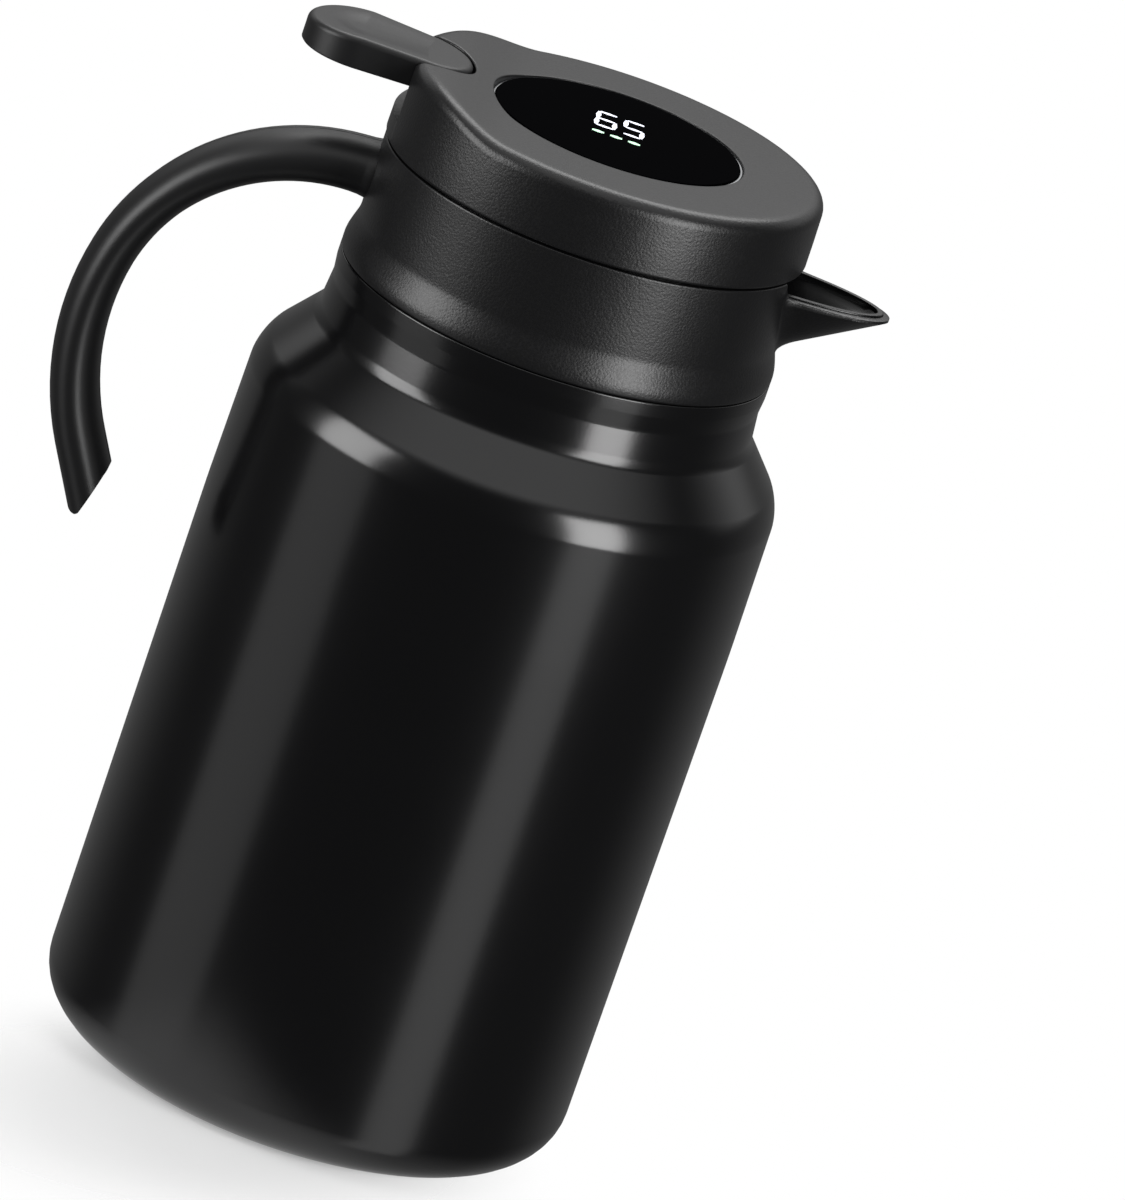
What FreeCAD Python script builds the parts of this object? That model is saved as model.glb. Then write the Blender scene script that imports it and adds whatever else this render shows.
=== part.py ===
# Insulated beverage jug: a double-wall steel vessel with a pouring collar and an open C handle,
# a thumb-lever lid with a round temperature display, and a tea infuser hung under the lid.
# Millimetres. The origin is on the vessel's axis in the plane it stands on.
# +Z is up, the spout points to +X and the handle is on the -X side.
import FreeCAD, Part
import math
import os
from FreeCAD import Vector

# Vessel
jug_radius = 62.0
shell_wall = 0.8
foot_ring_inset = 13.0
foot_chamfer = 6.7
foot_round = 11.6
breast_narrowing = 1.8
belly_taper_length = 34.0
shoulder_round = 14.0
shoulder_angle = 35.5
waist_stand = 0.6
waist_round = 15.0
waist_drop = 13.9
neck_flare_stand = 1.6
neck_flare_drop = 3.2
neck_flare_length = 4.3
seam_height = 191.0
neck_gap = 0.25
neck_rise = 9.4
flask_gap = 3.8
flask_floor_height = 8.0
flask_chamfer = 5.5
flask_shoulder_drop = 6.0
flask_waist_drop = 1.0
flask_mouth_inset = 5.6
flask_lip_width = 3.0
base_recess = 3.2
getter_radius = 8.0
getter_height = 1.8
seal_bead_radius = 5.5
seal_bead_height = 1.0

# Collar, pouring liner and spout
collar_rise = 27.6
collar_radius = 48.8
collar_wall = 1.55
collar_step_height = 6.0
collar_lip_height = 2.5
liner_wall = 1.1
liner_floor_wall = 1.6
gasket_height = 0.6
throat_inset = 4.2
throat_wall = 2.0
throat_depth = 15.4
seat_depth = 7.0
spout_length = 21.8
spout_half_width = 13.0
spout_depth = 15.6
spout_root_half_width = 5.0
spout_root_narrowing = 0.9
spout_root_behind = 18.8
spout_rim_behind = 8.8
spout_keel_slope = 0.62
spout_lip = 1.0
spout_lining = 1.4
spout_rim_drop = 4.0
spout_blend = 3.0
liner_rim_step = 0.4
mouth_half_width = 15.0
mouth_slope = 3.0
mouth_depth = 12.0

# Handle
handle_rise = 17.3
handle_bend_start = 1.6
handle_bend = 48.8
handle_sweep = 77.0
handle_bend_steps = 5
handle_low_bend = 62.6
handle_low_sweep = 41.5
handle_low_steps = 3
handle_tail = 20.0
handle_half_width = 8.8
handle_root_half_height = 6.4
handle_root_flare = 0.6
handle_thinning = 1.4
handle_grip_half_height = 5.3
handle_tail_half_height = 5.7
handle_tip_reach = 38.2
handle_tip_drop = 97.7
handle_cut_angle = 74.0
handle_screw_radius = 1.4
handle_screw_head_radius = 2.8
handle_screw_head_height = 1.2
handle_screw_length = 11.5
handle_screw_tip_gap = 0.5
handle_screw_spread = 4.4

# Cap
cap_gap = 0.4
cap_overhang = 0.3
cap_taper = 0.4
cap_height = 16.0
cap_edge_round = 3.4
cap_foot_chamfer = 0.8
cap_top_wall = 2.6
cap_side_wall = 3.2
cap_rear_wall = 2.2
cap_ramp_round = 30.0
ramp_rise = 3.6
ramp_start_inset = 24.8
ramp_end_inset = 8.8
rear_face_inset = 2.0
rear_ledge_height = 5.5

# Thumb lever and its pocket
lever_tip_stand = 12.0
lever_tip_radius = 12.5
lever_root_inset = 3.0
lever_root_radius = 11.0
lever_underside = 13.0
lever_tip_height = 6.2
lever_ridge_height = 7.7
lever_ridge_stand = 9.2
lever_ridge_round = 90.0
lever_root_height = 4.8
lever_edge_round = 1.4
thumb_dish_radius = 34.0
thumb_dish_depth = 1.1
pocket_gap = 0.6
pocket_wall = 1.8
pocket_floor = 1.8
pivot_inset = 10.8
pivot_drop = 10.0
pivot_boss_radius = 3.2
pivot_boss_half_length = 7.4
pin_radius = 1.5
pin_clearance = 0.05
leg_thickness = 6.4
leg_offset = 0.8
leg_half_width = 5.5
arm_half_width = 4.0
arm_thickness = 2.4
fork_half_gap = 2.9
fork_half_width = 5.5
fork_drop = 9.0
fork_root = 8.0
fork_reach = 3.0
fork_slot_root = 4.6
fork_pad_half_length = 1.5
fork_pad_height = 1.0

# Stopper
skirt_wall = 1.85
skirt_drop = 10.9
skirt_rise = 2.4
stopper_plate_wall = 1.6
core_inset = 2.7
core_wall = 2.0
core_depth = 13.7
core_floor_wall = 2.0
port_half_width = 10.0
port_height = 3.4
deck_rise = 2.3
deck_wall = 1.4
tail_inset = 6.1
tail_wall = 2.2
tail_depth = 7.0
seal_top_inset = 0.25
seal_bottom_inset = 5.0
seal_gap = 0.4
socket_inset = 0.65
socket_wall = 3.15
socket_depth = 7.6
socket_spigot = 3.0
notch_count = 20
notch_width = 3.0
notch_depth = 1.2
notch_height = 5.0

# Valve
stem_radius = 2.5
stem_head_radius = 5.5
stem_head_wall = 1.5
valve_hole_inset = 4.0
plug_inset = 1.5
plug_wall = 1.8
washer_wall = 1.2
washer_gap = 6.0
spring_radius = 5.6
spring_wire = 0.8
spring_turns = 2.5

# Temperature display
display_inset = 19.6
display_wall = 0.6
display_glass_wall = 1.3
display_drop = 0.1
display_depth = 11.0
display_floor_wall = 1.2
display_seat = 1.2
board_length_share = 0.8
board_width_share = 0.55
board_wall = 1.2
cell_radius = 10.0
cell_height = 3.2
holder_size = 24.0
holder_floor = 0.4
digit_module_length = 26.0
digit_module_width = 16.0
probe_radius = 2.0
probe_inset = 4.1
probe_length = 50.0

# Infuser
infuser_ring_stand = 2.3
infuser_ring_height = 15.0
spigot_gap = 0.4
infuser_spigot_height = 4.6
infuser_wall = 0.8
basket_wall = 0.6
basket_length = 47.5
basket_rim = 1.4
cup_grip = 4.0
base_cup_height = 6.0
base_cup_chamfer = 1.5
plain_band = 5.0
hole_columns = 12
hole_rows = 3
hole_size = 7.0
hole_margin = 3.0

# Clearances
fit = 0.1
face_gap = 0.05
running_gap = 0.3
overrun = 2.0
corner_room = 0.49
same_place = 0.000001

# Radii and places worked out from the sizes above
foot_ring_radius = jug_radius - foot_ring_inset
breast_radius = jug_radius - breast_narrowing
waist_radius = collar_radius + waist_stand
neck_flare_radius = collar_radius + neck_flare_stand
collar_inner = collar_radius - collar_wall
neck_radius = collar_inner - neck_gap
flask_mouth_radius = neck_radius - flask_mouth_inset
throat_radius = flask_mouth_radius - throat_inset
liner_radius = collar_inner - fit
liner_inner = liner_radius - liner_wall
skirt_radius = liner_inner - running_gap
core_radius = throat_radius - core_inset
tail_radius = core_radius - tail_inset
seal_top_radius = core_radius - seal_top_inset
seal_bottom_radius = core_radius - seal_bottom_inset
socket_radius = tail_radius - socket_inset
socket_bore_radius = socket_radius - socket_wall
infuser_spigot_radius = socket_bore_radius - spigot_gap
infuser_ring_radius = infuser_spigot_radius + infuser_ring_stand
basket_radius = infuser_spigot_radius - fit
probe_offset = basket_radius - probe_inset
washer_radius = probe_offset - washer_gap
plug_radius = washer_radius - plug_inset
valve_hole_radius = washer_radius - valve_hole_inset
cap_radius = collar_radius + cap_overhang
rear_face = collar_radius - rear_face_inset
ramp_start = collar_radius - ramp_start_inset
ramp_end = collar_radius - ramp_end_inset
lever_tip_centre = collar_radius + lever_tip_stand
lever_root_centre = collar_radius - lever_root_inset
lever_ridge_x = collar_radius + lever_ridge_stand
pivot_x = collar_radius - pivot_inset
display_radius = collar_radius - display_inset
display_seat_radius = display_radius - display_wall - display_seat
spout_reach = collar_radius + spout_length
waist_height = seam_height - waist_drop
shoulder_slope = math.tan(math.radians(shoulder_angle))
shoulder_height = waist_height - (breast_radius - waist_radius) / shoulder_slope
handle_height = seam_height + handle_rise
handle_bend_offset = collar_radius + handle_bend_start
handle_tip_x = -collar_radius - handle_tip_reach
handle_tip_z = handle_height - handle_tip_drop
rim_height = seam_height + neck_rise
flask_lip_top = rim_height + shell_wall
liner_floor_low = flask_lip_top + gasket_height
liner_floor_top = liner_floor_low + liner_floor_wall
collar_top = seam_height + collar_rise
spout_rim = collar_top - spout_rim_drop
cap_low = collar_top + cap_gap
cap_top = cap_low + cap_height
cap_ceiling = cap_top - cap_top_wall
cap_peak = cap_top + ramp_rise
skirt_low = collar_top - skirt_drop
skirt_top = cap_low + skirt_rise
core_low = skirt_low - core_depth
core_floor_top = core_low + core_floor_wall
deck_low = skirt_low + deck_rise
deck_top = deck_low + deck_wall
tail_low = core_low - tail_depth
socket_low = tail_low - socket_depth
pivot_height = cap_top - pivot_drop
paddle_low = cap_low + lever_underside
housing_low = cap_top - display_depth
pocket_low = skirt_top + fit
fork_pad_top = pivot_height - fork_drop
fork_top = fork_pad_top - fork_pad_height
arm_low = fork_top - arm_thickness
stem_head_low = fork_pad_top + running_gap
stem_head_top = stem_head_low + stem_head_wall
washer_low = core_floor_top + face_gap
washer_top = washer_low + washer_wall
plug_top = washer_top + plug_wall

AXIS = Vector(0, 0, 1)


def disc(radius, low, high, x=0.0, y=0.0):
    """Upright cylinder between two heights."""
    return Part.makeCylinder(radius, high - low, Vector(x, y, low))


def tube(inner, outer, low, high, x=0.0, y=0.0):
    """Upright pipe between two heights."""
    return disc(outer, low, high, x, y).cut(disc(inner, low, high, x, y))


def block(x_low, x_high, half_width, low, high):
    """Box centred on the XZ plane."""
    corner = Vector(x_low, -half_width, low)
    return Part.makeBox(x_high - x_low, 2 * half_width, high - low, corner)


def rounded_outline(corners):
    """Closed wire in the XZ plane through (across, up, round) corners."""
    count = len(corners)
    points = [Vector(across, 0, up) for across, up, _ in corners]
    entries = []
    for i, (_, _, wanted) in enumerate(corners):
        here = points[i]
        to_last = points[i - 1] - here
        to_next = points[(i + 1) % count] - here
        half = to_last.getAngle(to_next) / 2
        room = corner_room * min(to_last.Length, to_next.Length) * math.tan(half)
        radius = min(wanted, room)
        if radius <= 0:
            entries.append((here, None, here))
            continue
        reach = radius / math.tan(half)
        to_last.normalize()
        to_next.normalize()
        inward = to_last + to_next
        inward.normalize()
        middle = here + inward * (radius / math.sin(half) - radius)
        entries.append((here + to_last * reach, middle, here + to_next * reach))
    edges = []
    for i, (start, middle, end) in enumerate(entries):
        if middle is not None:
            edges.append(Part.Arc(start, middle, end).toShape())
        following = entries[(i + 1) % count][0]
        if (following - end).Length > same_place:
            edges.append(Part.makeLine(end, following))
    return Part.Wire(edges)


def turned(corners):
    """Solid of revolution about the vessel's axis from (radius, height, round) corners."""
    face = Part.Face(rounded_outline(corners))
    return face.revolve(Vector(0, 0, 0), AXIS, 360)


def ring(inner, outer, low, high):
    """Plain turned ring."""
    return turned([(inner, low, 0), (outer, low, 0), (outer, high, 0), (inner, high, 0)])


def plate_across(corners, half_width):
    """XZ outline given thickness along Y, centred on the XZ plane."""
    face = Part.Face(rounded_outline(corners))
    face.translate(Vector(0, -half_width, 0))
    return face.extrude(Vector(0, 2 * half_width, 0))


def pin_along_x(radius, x_low, x_high, y, z):
    """Cylinder lying along X."""
    return Part.makeCylinder(radius, x_high - x_low, Vector(x_low, y, z), Vector(1, 0, 0))


def pin_along_y(radius, half_length, x, z):
    """Cylinder lying along Y, centred on the XZ plane."""
    start = Vector(x, -half_length, z)
    return Part.makeCylinder(radius, 2 * half_length, start, Vector(0, 1, 0))


def shell_corners():
    """Outside of the vessel from the foot ring to the mouth, as (radius, height, round)."""
    flare = seam_height - neck_flare_drop
    return [
        (foot_ring_radius, 0, 0),
        (jug_radius - foot_chamfer, 0, 0),
        (jug_radius, foot_chamfer, foot_round),
        (jug_radius, shoulder_height - belly_taper_length, 0),
        (breast_radius, shoulder_height, shoulder_round),
        (waist_radius, waist_height, waist_round),
        (waist_radius, flare - neck_flare_length, 0),
        (neck_flare_radius, flare, 0),
        (neck_flare_radius, seam_height, 0),
        (neck_radius, seam_height, 0),
        (neck_radius, rim_height, 0),
        (flask_mouth_radius + shell_wall + fit, rim_height, 0),
    ]


def inset(corners, depth):
    """The same open outline moved inwards by a wall's thickness."""
    moved = []
    for i, (radius, height, curve) in enumerate(corners):
        normals = []
        for j in (i - 1, i):
            if 0 <= j < len(corners) - 1:
                along_r = corners[j + 1][0] - corners[j][0]
                along_z = corners[j + 1][1] - corners[j][1]
                size = math.hypot(along_r, along_z)
                normals.append((-along_z / size, along_r / size))
        if len(normals) == 1:
            normals = normals * 2
        (ax, az), (bx, bz) = normals
        share = depth / (1 + ax * bx + az * bz)
        convex = ax * bz - az * bx > 0
        inner_curve = curve - depth if convex and curve else 0
        moved.append((radius + (ax + bx) * share, height + (az + bz) * share, inner_curve))
    return moved


def blunted(corners):
    """The same open outline with each round corner replaced by a straight cut."""
    flat = [corners[0]]
    for last, (radius, height, curve), following in zip(corners, corners[1:], corners[2:]):
        here = Vector(radius, 0, height)
        to_last = Vector(last[0], 0, last[1]) - here
        to_next = Vector(following[0], 0, following[1]) - here
        reach = curve / math.tan(to_last.getAngle(to_next) / 2)
        if reach:
            cuts = [here + to_last.normalize() * reach, here + to_next.normalize() * reach]
            flat += [(cut.x, cut.z, 0) for cut in cuts]
        else:
            flat.append((radius, height, 0))
    flat.append(corners[-1])
    return flat


def outer_shell():
    outside = shell_corners()
    inside = blunted(inset(outside, shell_wall))
    return turned(outside + inside[::-1])


def inner_flask():
    belly = jug_radius - shell_wall - flask_gap
    inside = belly - shell_wall
    neck = flask_mouth_radius + shell_wall
    low_bend = shoulder_height - flask_shoulder_drop
    high_bend = waist_height - flask_waist_drop
    outside_floor = flask_floor_height
    floor = outside_floor + shell_wall
    return turned([
        (0, outside_floor, 0),
        (belly - flask_chamfer, outside_floor, 0),
        (belly, outside_floor + flask_chamfer, 0),
        (belly, low_bend, 0),
        (neck, high_bend, 0),
        (neck, rim_height, 0),
        (flask_mouth_radius + flask_lip_width, rim_height, 0),
        (flask_mouth_radius + flask_lip_width, flask_lip_top, 0),
        (flask_mouth_radius, flask_lip_top, 0),
        (flask_mouth_radius, high_bend, 0),
        (inside, low_bend, 0),
        (inside, floor + flask_chamfer, 0),
        (inside - flask_chamfer, floor, 0),
        (0, floor, 0),
    ])


def base_plate():
    edge = foot_ring_radius - fit
    return turned([
        (edge - shell_wall, 0, 0),
        (edge, 0, 0),
        (edge, base_recess + shell_wall, 0),
        (0, base_recess + shell_wall, 0),
        (0, base_recess, 0),
        (edge - shell_wall, base_recess, 0),
    ])


def vacuum_seal():
    return disc(seal_bead_radius, base_recess - seal_bead_height, base_recess)


def getter_pellet():
    return disc(getter_radius, flask_floor_height - getter_height, flask_floor_height)


def spout_keel_low(depth):
    """Lowest point of the spout's form, drawn in square to its keel by a depth."""
    rise = math.hypot(1, spout_keel_slope)
    return spout_rim - spout_lip - spout_depth + rise * depth


def spout_section(depth, height, level):
    """Horizontal outline of the spout at one level, drawn in by a wall's thickness."""
    keel_low = spout_keel_low(depth)
    share = (level - keel_low) / (spout_rim - spout_lip - keel_low)
    root_back = collar_radius - spout_root_behind
    tip_back = collar_radius - spout_rim_behind
    root_tip = spout_reach - spout_depth / spout_keel_slope
    back = root_back + (tip_back - root_back) * share
    tip = root_tip + (spout_reach - depth - root_tip) * share
    root_half = spout_root_half_width - spout_root_narrowing * depth
    half = root_half + (spout_half_width - depth - root_half) * share
    right = Vector(back, -half, height)
    left = Vector(back, half, height)
    nose = Vector(tip, 0, height)
    bow = Part.Ellipse(nose, Vector(back, half, height), Vector(back, 0, height))
    start = bow.parameter(right)
    middle = bow.parameter(nose)
    if start > math.pi:
        start -= 2 * math.pi
    if middle > math.pi:
        middle -= 2 * math.pi
    near = Part.ArcOfEllipse(bow, start, middle).toShape()
    far = Part.ArcOfEllipse(bow, middle, -start + 2 * middle).toShape()
    return Part.Wire([Part.makeLine(left, right), near, far])


def spout_body(depth, low, top):
    """The spout's outer form, drawn in by a depth, from one level to another."""
    bend = spout_rim - spout_lip
    sections = [
        spout_section(depth, low, low),
        spout_section(depth, bend, bend),
        spout_section(depth, top, bend),
    ]
    return Part.makeLoft(sections, True, True)


def mouth_cut():
    """The dip in the collar's top edge above the spout."""
    high = collar_top + overrun
    low_half = mouth_half_width - mouth_slope
    high_half = low_half + mouth_slope * (high - spout_rim) / spout_rim_drop
    x = collar_radius - mouth_depth
    corners = [
        Vector(x, -low_half, spout_rim),
        Vector(x, low_half, spout_rim),
        Vector(x, high_half, high),
        Vector(x, -high_half, high),
    ]
    face = Part.Face(Part.makePolygon(corners + corners[:1]))
    return face.extrude(Vector(mouth_depth + overrun, 0, 0))


def collar():
    inner = collar_inner
    low = seam_height + face_gap
    wall = turned([
        (inner, low, 0),
        (neck_flare_radius, low, 0),
        (neck_flare_radius, seam_height + collar_lip_height, 0),
        (collar_radius, seam_height + collar_step_height, 0),
        (collar_radius, collar_top, 0),
        (inner, collar_top, 0),
    ])
    keel_low = spout_keel_low(0)
    spout = spout_body(0, keel_low, spout_rim)
    spout = spout.cut(disc(inner, keel_low, collar_top))
    body = wall.fuse(spout)
    root = [e for e in body.Edges if is_spout_root(e)]
    body = body.makeFillet(spout_blend, root)
    body = body.cut(spout_body(collar_wall, spout_keel_low(collar_wall), collar_top + overrun))
    body = body.cut(mouth_cut())
    for side in (-1, 1):
        y = side * handle_screw_spread
        body = body.cut(pin_along_x(handle_screw_head_radius + fit, -collar_radius - overrun,
                                    -inner + overrun, y, handle_height))
    return body.removeSplitter()


def is_spout_root(edge):
    """True for the line where the spout leaves the collar's wall."""
    middle = edge.valueAt((edge.FirstParameter + edge.LastParameter) / 2)
    on_wall = abs(math.hypot(middle.x, middle.y) - collar_radius) < face_gap
    return on_wall and abs(middle.y) < spout_half_width and middle.z < spout_rim - running_gap \
        and middle.x > 0


def pour_liner():
    outer = liner_radius
    cup = liner_inner
    sleeve_low = liner_floor_top - throat_depth
    seat_top = sleeve_low + seat_depth
    slope = (seal_top_radius - seal_bottom_radius) / tail_depth
    seat_at = seal_bottom_radius + seal_gap
    body = turned([
        (cup, collar_top, 0),
        (cup, liner_floor_top, 0),
        (throat_radius, liner_floor_top, 0),
        (throat_radius, seat_top, 0),
        (seat_at + slope * (seat_top - tail_low), seat_top, 0),
        (seat_at + slope * (sleeve_low - tail_low), sleeve_low, 0),
        (throat_radius + throat_wall, sleeve_low, 0),
        (throat_radius + throat_wall, liner_floor_low, 0),
        (outer, liner_floor_low, 0),
        (outer, collar_top, 0),
    ])
    depth = collar_wall + fit
    spout = spout_body(depth, spout_keel_low(depth), spout_rim + liner_rim_step)
    spout = spout.cut(disc(outer, spout_keel_low(0), liner_floor_low))
    spout = spout.cut(disc(cup, liner_floor_low, collar_top))
    body = body.fuse(spout)
    body = body.cut(spout_body(depth + spout_lining, liner_floor_top, collar_top + overrun))
    mouth = mouth_cut()
    mouth.translate(Vector(0, 0, liner_rim_step))
    return body.cut(mouth).removeSplitter()


def neck_gasket():
    inner = flask_mouth_radius + running_gap
    return ring(inner, flask_mouth_radius + flask_lip_width, flask_lip_top, liner_floor_low)


def handle_form():
    """Whole handle: an oval bar from the collar round two bends and straight down to its tip."""
    root_half = handle_root_half_height
    grip_half = handle_grip_half_height
    tail_half = handle_tail_half_height
    stub = Vector(overrun - collar_radius, 0, handle_height)
    sections = [oval(stub, 0, root_half + handle_root_flare)]
    start = Vector(-handle_bend_offset, 0, handle_height)
    for i in range(handle_bend_steps + 1):
        turn = handle_sweep * i / handle_bend_steps
        share = min(1.0, handle_thinning * i / handle_bend_steps)
        place = bent(start, 0, turn, handle_bend)
        sections.append(oval(place, turn, root_half + (grip_half - root_half) * share))
    start = place
    for i in range(1, handle_low_steps + 1):
        turn = handle_sweep + handle_low_sweep * i / handle_low_steps
        place = bent(start, handle_sweep, turn, handle_low_bend)
        half = grip_half + (tail_half - grip_half) * i / handle_low_steps
        sections.append(oval(place, turn, half))
    sections.append(oval(place + heading(turn) * handle_tail, turn, tail_half))
    return Part.makeLoft(sections, True, False)


def heading(turn):
    """Direction of the handle's bar after it has turned down by an angle."""
    angle = math.radians(turn)
    return Vector(-math.cos(angle), 0, -math.sin(angle))


def outward(turn):
    """Direction away from the inside of the bend, square to the bar."""
    angle = math.radians(turn)
    return Vector(-math.sin(angle), 0, math.cos(angle))


def bent(start, first, last, radius):
    """Place on the bar's centre line after a bend from one angle to another."""
    return start + (outward(last) - outward(first)) * radius


def oval(centre, turn, half_height):
    """Oval section square to the bar at one place."""
    wide = centre + Vector(0, handle_half_width, 0)
    tall = centre + outward(turn) * half_height
    return Part.Wire([Part.Ellipse(wide, tall, centre).toShape()])


def handle_half(side):
    """One moulded half of the handle, split on the XZ plane."""
    form = handle_form()
    reach = jug_radius
    angle = math.radians(handle_cut_angle)
    down = Vector(-math.cos(angle), 0, -math.sin(angle)) * reach
    inward = Vector(math.sin(angle), 0, -math.cos(angle)) * reach
    tip = Vector(handle_tip_x, -reach, handle_tip_z)
    waste = Part.Face(Part.makePolygon([tip, tip - down, tip - down + inward, tip + inward, tip]))
    form = form.cut(waste.extrude(Vector(0, 2 * reach, 0)))
    form = form.cut(block(-2 * reach, 0, reach, 0, handle_tip_z))
    form = form.cut(disc(collar_radius + fit, seam_height, collar_top))
    form = form.common(Part.makeBox(2 * reach, reach, collar_top,
                                    Vector(-2 * reach, min(0, side * reach), 0)))
    y = side * handle_screw_spread
    depth = handle_screw_length + handle_screw_tip_gap
    bore = pin_along_x(handle_screw_radius + face_gap, -collar_radius - depth, -collar_radius, y,
                       handle_height)
    seat = pin_along_x(handle_screw_head_radius + fit, -collar_radius, 0, y, handle_height)
    return form.cut([bore, seat])


def handle_screws():
    """Two screws from inside the collar, one into each half of the handle."""
    face = -collar_radius
    screws = []
    for side in (-1, 1):
        y = side * handle_screw_spread
        head = pin_along_x(handle_screw_head_radius, face, face + handle_screw_head_height, y,
                           handle_height)
        shank = pin_along_x(handle_screw_radius, face - handle_screw_length, face, y, handle_height)
        screws.append(head.fuse(shank).removeSplitter())
    return Part.makeCompound(screws)


def lever_outline(grow, low, high):
    """Upright prism on the lever's plan: two rounds joined by straight sides."""
    span = lever_tip_centre - lever_root_centre
    lean = (lever_tip_radius - lever_root_radius) / span
    rise = math.sqrt(1 - lean * lean)
    tip = lever_tip_radius + grow
    root = lever_root_radius + grow
    a = Vector(-lever_tip_centre + lean * tip, rise * tip, low)
    b = Vector(-lever_root_centre + lean * root, rise * root, low)
    c = Vector(b.x, -b.y, low)
    d = Vector(a.x, -a.y, low)
    root_end = Vector(-lever_root_centre + root, 0, low)
    tip_end = Vector(-lever_tip_centre - tip, 0, low)
    edges = [
        Part.makeLine(a, b),
        Part.Arc(b, root_end, c).toShape(),
        Part.makeLine(c, d),
        Part.Arc(d, tip_end, a).toShape(),
    ]
    return Part.Face(Part.Wire(edges)).extrude(Vector(0, 0, high - low))


def cap_cover():
    high = cap_peak + overrun
    edge = cap_radius + overrun
    turned_form = turned([
        (0, cap_low, 0),
        (cap_radius - cap_foot_chamfer, cap_low, 0),
        (cap_radius, cap_low + cap_foot_chamfer, 0),
        (cap_radius - cap_taper, high, 0),
        (0, high, 0),
    ])
    top_form = plate_across([
        (edge, cap_low, 0),
        (edge, cap_top, 0),
        (-ramp_start, cap_top, cap_ramp_round),
        (-ramp_end, cap_peak, cap_ramp_round),
        (-edge, cap_peak, 0),
        (-edge, cap_low, 0),
    ], edge)
    form = turned_form.common(top_form)
    rim = [e for e in form.Edges if is_cap_rim(e)]
    form = form.makeFillet(cap_edge_round, rim)
    ledge = cap_low + rear_ledge_height
    form = form.cut(block(-edge, -rear_face, edge, ledge, high))
    inner_radius = cap_radius - cap_side_wall
    rear_inside = -rear_face + cap_rear_wall
    cavity = disc(inner_radius, cap_low, cap_ceiling)
    cavity = cavity.cut(block(-edge, rear_inside, edge, ledge - cap_rear_wall, high))
    form = form.cut(cavity)
    form = form.cut(disc(display_radius + fit, cap_low, high))
    wall = pocket_gap + pocket_wall
    curtain = lever_outline(wall, pocket_low, cap_ceiling)
    curtain = curtain.fuse(pivot_bay(wall, pocket_low, cap_ceiling))
    curtain = curtain.common(block(rear_inside, 0, edge, pocket_low, cap_ceiling))
    form = form.fuse(curtain.common(disc(inner_radius, pocket_low, cap_ceiling)))
    form = form.cut(lever_outline(pocket_gap, paddle_low - pocket_floor, high))
    well = lever_outline(pocket_gap, pocket_low, cap_ceiling)
    well = well.common(block(rear_inside, 0, edge, pocket_low, high))
    form = form.cut(well.fuse(pivot_bay(pocket_gap, pocket_low, cap_ceiling)))
    pin_hole = pin_along_y(pin_radius + face_gap, pin_half_length(), -pivot_x, pivot_height)
    return form.cut(pin_hole).removeSplitter()


def pivot_bay(grow, low, high):
    """Box round the lever's pivot boss, grown sideways by a gap or a wall."""
    reach = pivot_boss_radius + grow
    return block(-pivot_x - reach, -pivot_x + reach, pivot_boss_half_length + grow, low, high)


def pin_half_length():
    """From the middle of the lever's pin to its end in the pocket's wall."""
    radius = lever_root_radius + pocket_gap
    inside = math.sqrt(radius ** 2 - (lever_root_centre - pivot_x) ** 2)
    return inside + pocket_wall


def is_cap_rim(edge):
    """True for the line round the top of the cap's side."""
    middle = edge.valueAt((edge.FirstParameter + edge.LastParameter) / 2)
    radius = math.hypot(middle.x, middle.y)
    return radius > cap_radius - 2 * cap_taper and middle.z > cap_top - cap_taper


def lever_pin():
    return pin_along_y(pin_radius, pin_half_length() - fit, -pivot_x, pivot_height)


def thumb_lever():
    tip_x = -lever_tip_centre - lever_tip_radius - overrun
    root_x = -lever_root_centre + lever_root_radius + overrun
    high = paddle_low + lever_ridge_height
    side = plate_across([
        (tip_x, paddle_low, 0),
        (root_x, paddle_low, 0),
        (root_x, paddle_low + lever_root_height, 0),
        (-lever_ridge_x, high, lever_ridge_round),
        (tip_x, paddle_low + lever_tip_height, 0),
    ], lever_tip_radius)
    paddle = lever_outline(0, paddle_low, high + overrun).common(side)
    rim = [e for e in paddle.Edges if is_paddle_rim(e)]
    paddle = paddle.makeFillet(lever_edge_round, rim)
    dish = Vector(-lever_tip_centre, 0, high - thumb_dish_depth + thumb_dish_radius)
    paddle = paddle.cut(Part.makeSphere(thumb_dish_radius, dish))
    leg_x = -pivot_x - leg_offset - leg_thickness / 2
    leg_end = leg_x + leg_thickness
    leg = block(leg_x, leg_end, leg_half_width, arm_low, paddle_low + overrun)
    boss = pin_along_y(pivot_boss_radius, pivot_boss_half_length, -pivot_x, pivot_height)
    arm = block(leg_x, -fork_root, arm_half_width, arm_low, fork_top)
    fork = block(-fork_root, fork_reach, fork_half_width, arm_low, fork_top)
    pads = block(-fork_pad_half_length, fork_pad_half_length, fork_half_width, arm_low,
                 fork_pad_top)
    slot = block(-fork_slot_root, fork_reach, fork_half_gap, arm_low, fork_pad_top)
    body = paddle.fuse([leg, boss, arm, fork, pads])
    bore = pin_along_y(pin_radius + pin_clearance, pivot_boss_half_length, -pivot_x, pivot_height)
    return body.cut([slot, bore]).removeSplitter()


def is_paddle_rim(edge):
    """True for the edges round the top of the paddle."""
    middle = edge.valueAt((edge.FirstParameter + edge.LastParameter) / 2)
    ends = [v.Point.z for v in edge.Vertexes]
    upright = min(ends) < paddle_low + fit
    across = abs(middle.y) < fit and edge.Curve.TypeId == "Part::GeomLine"
    return not upright and not across


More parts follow.
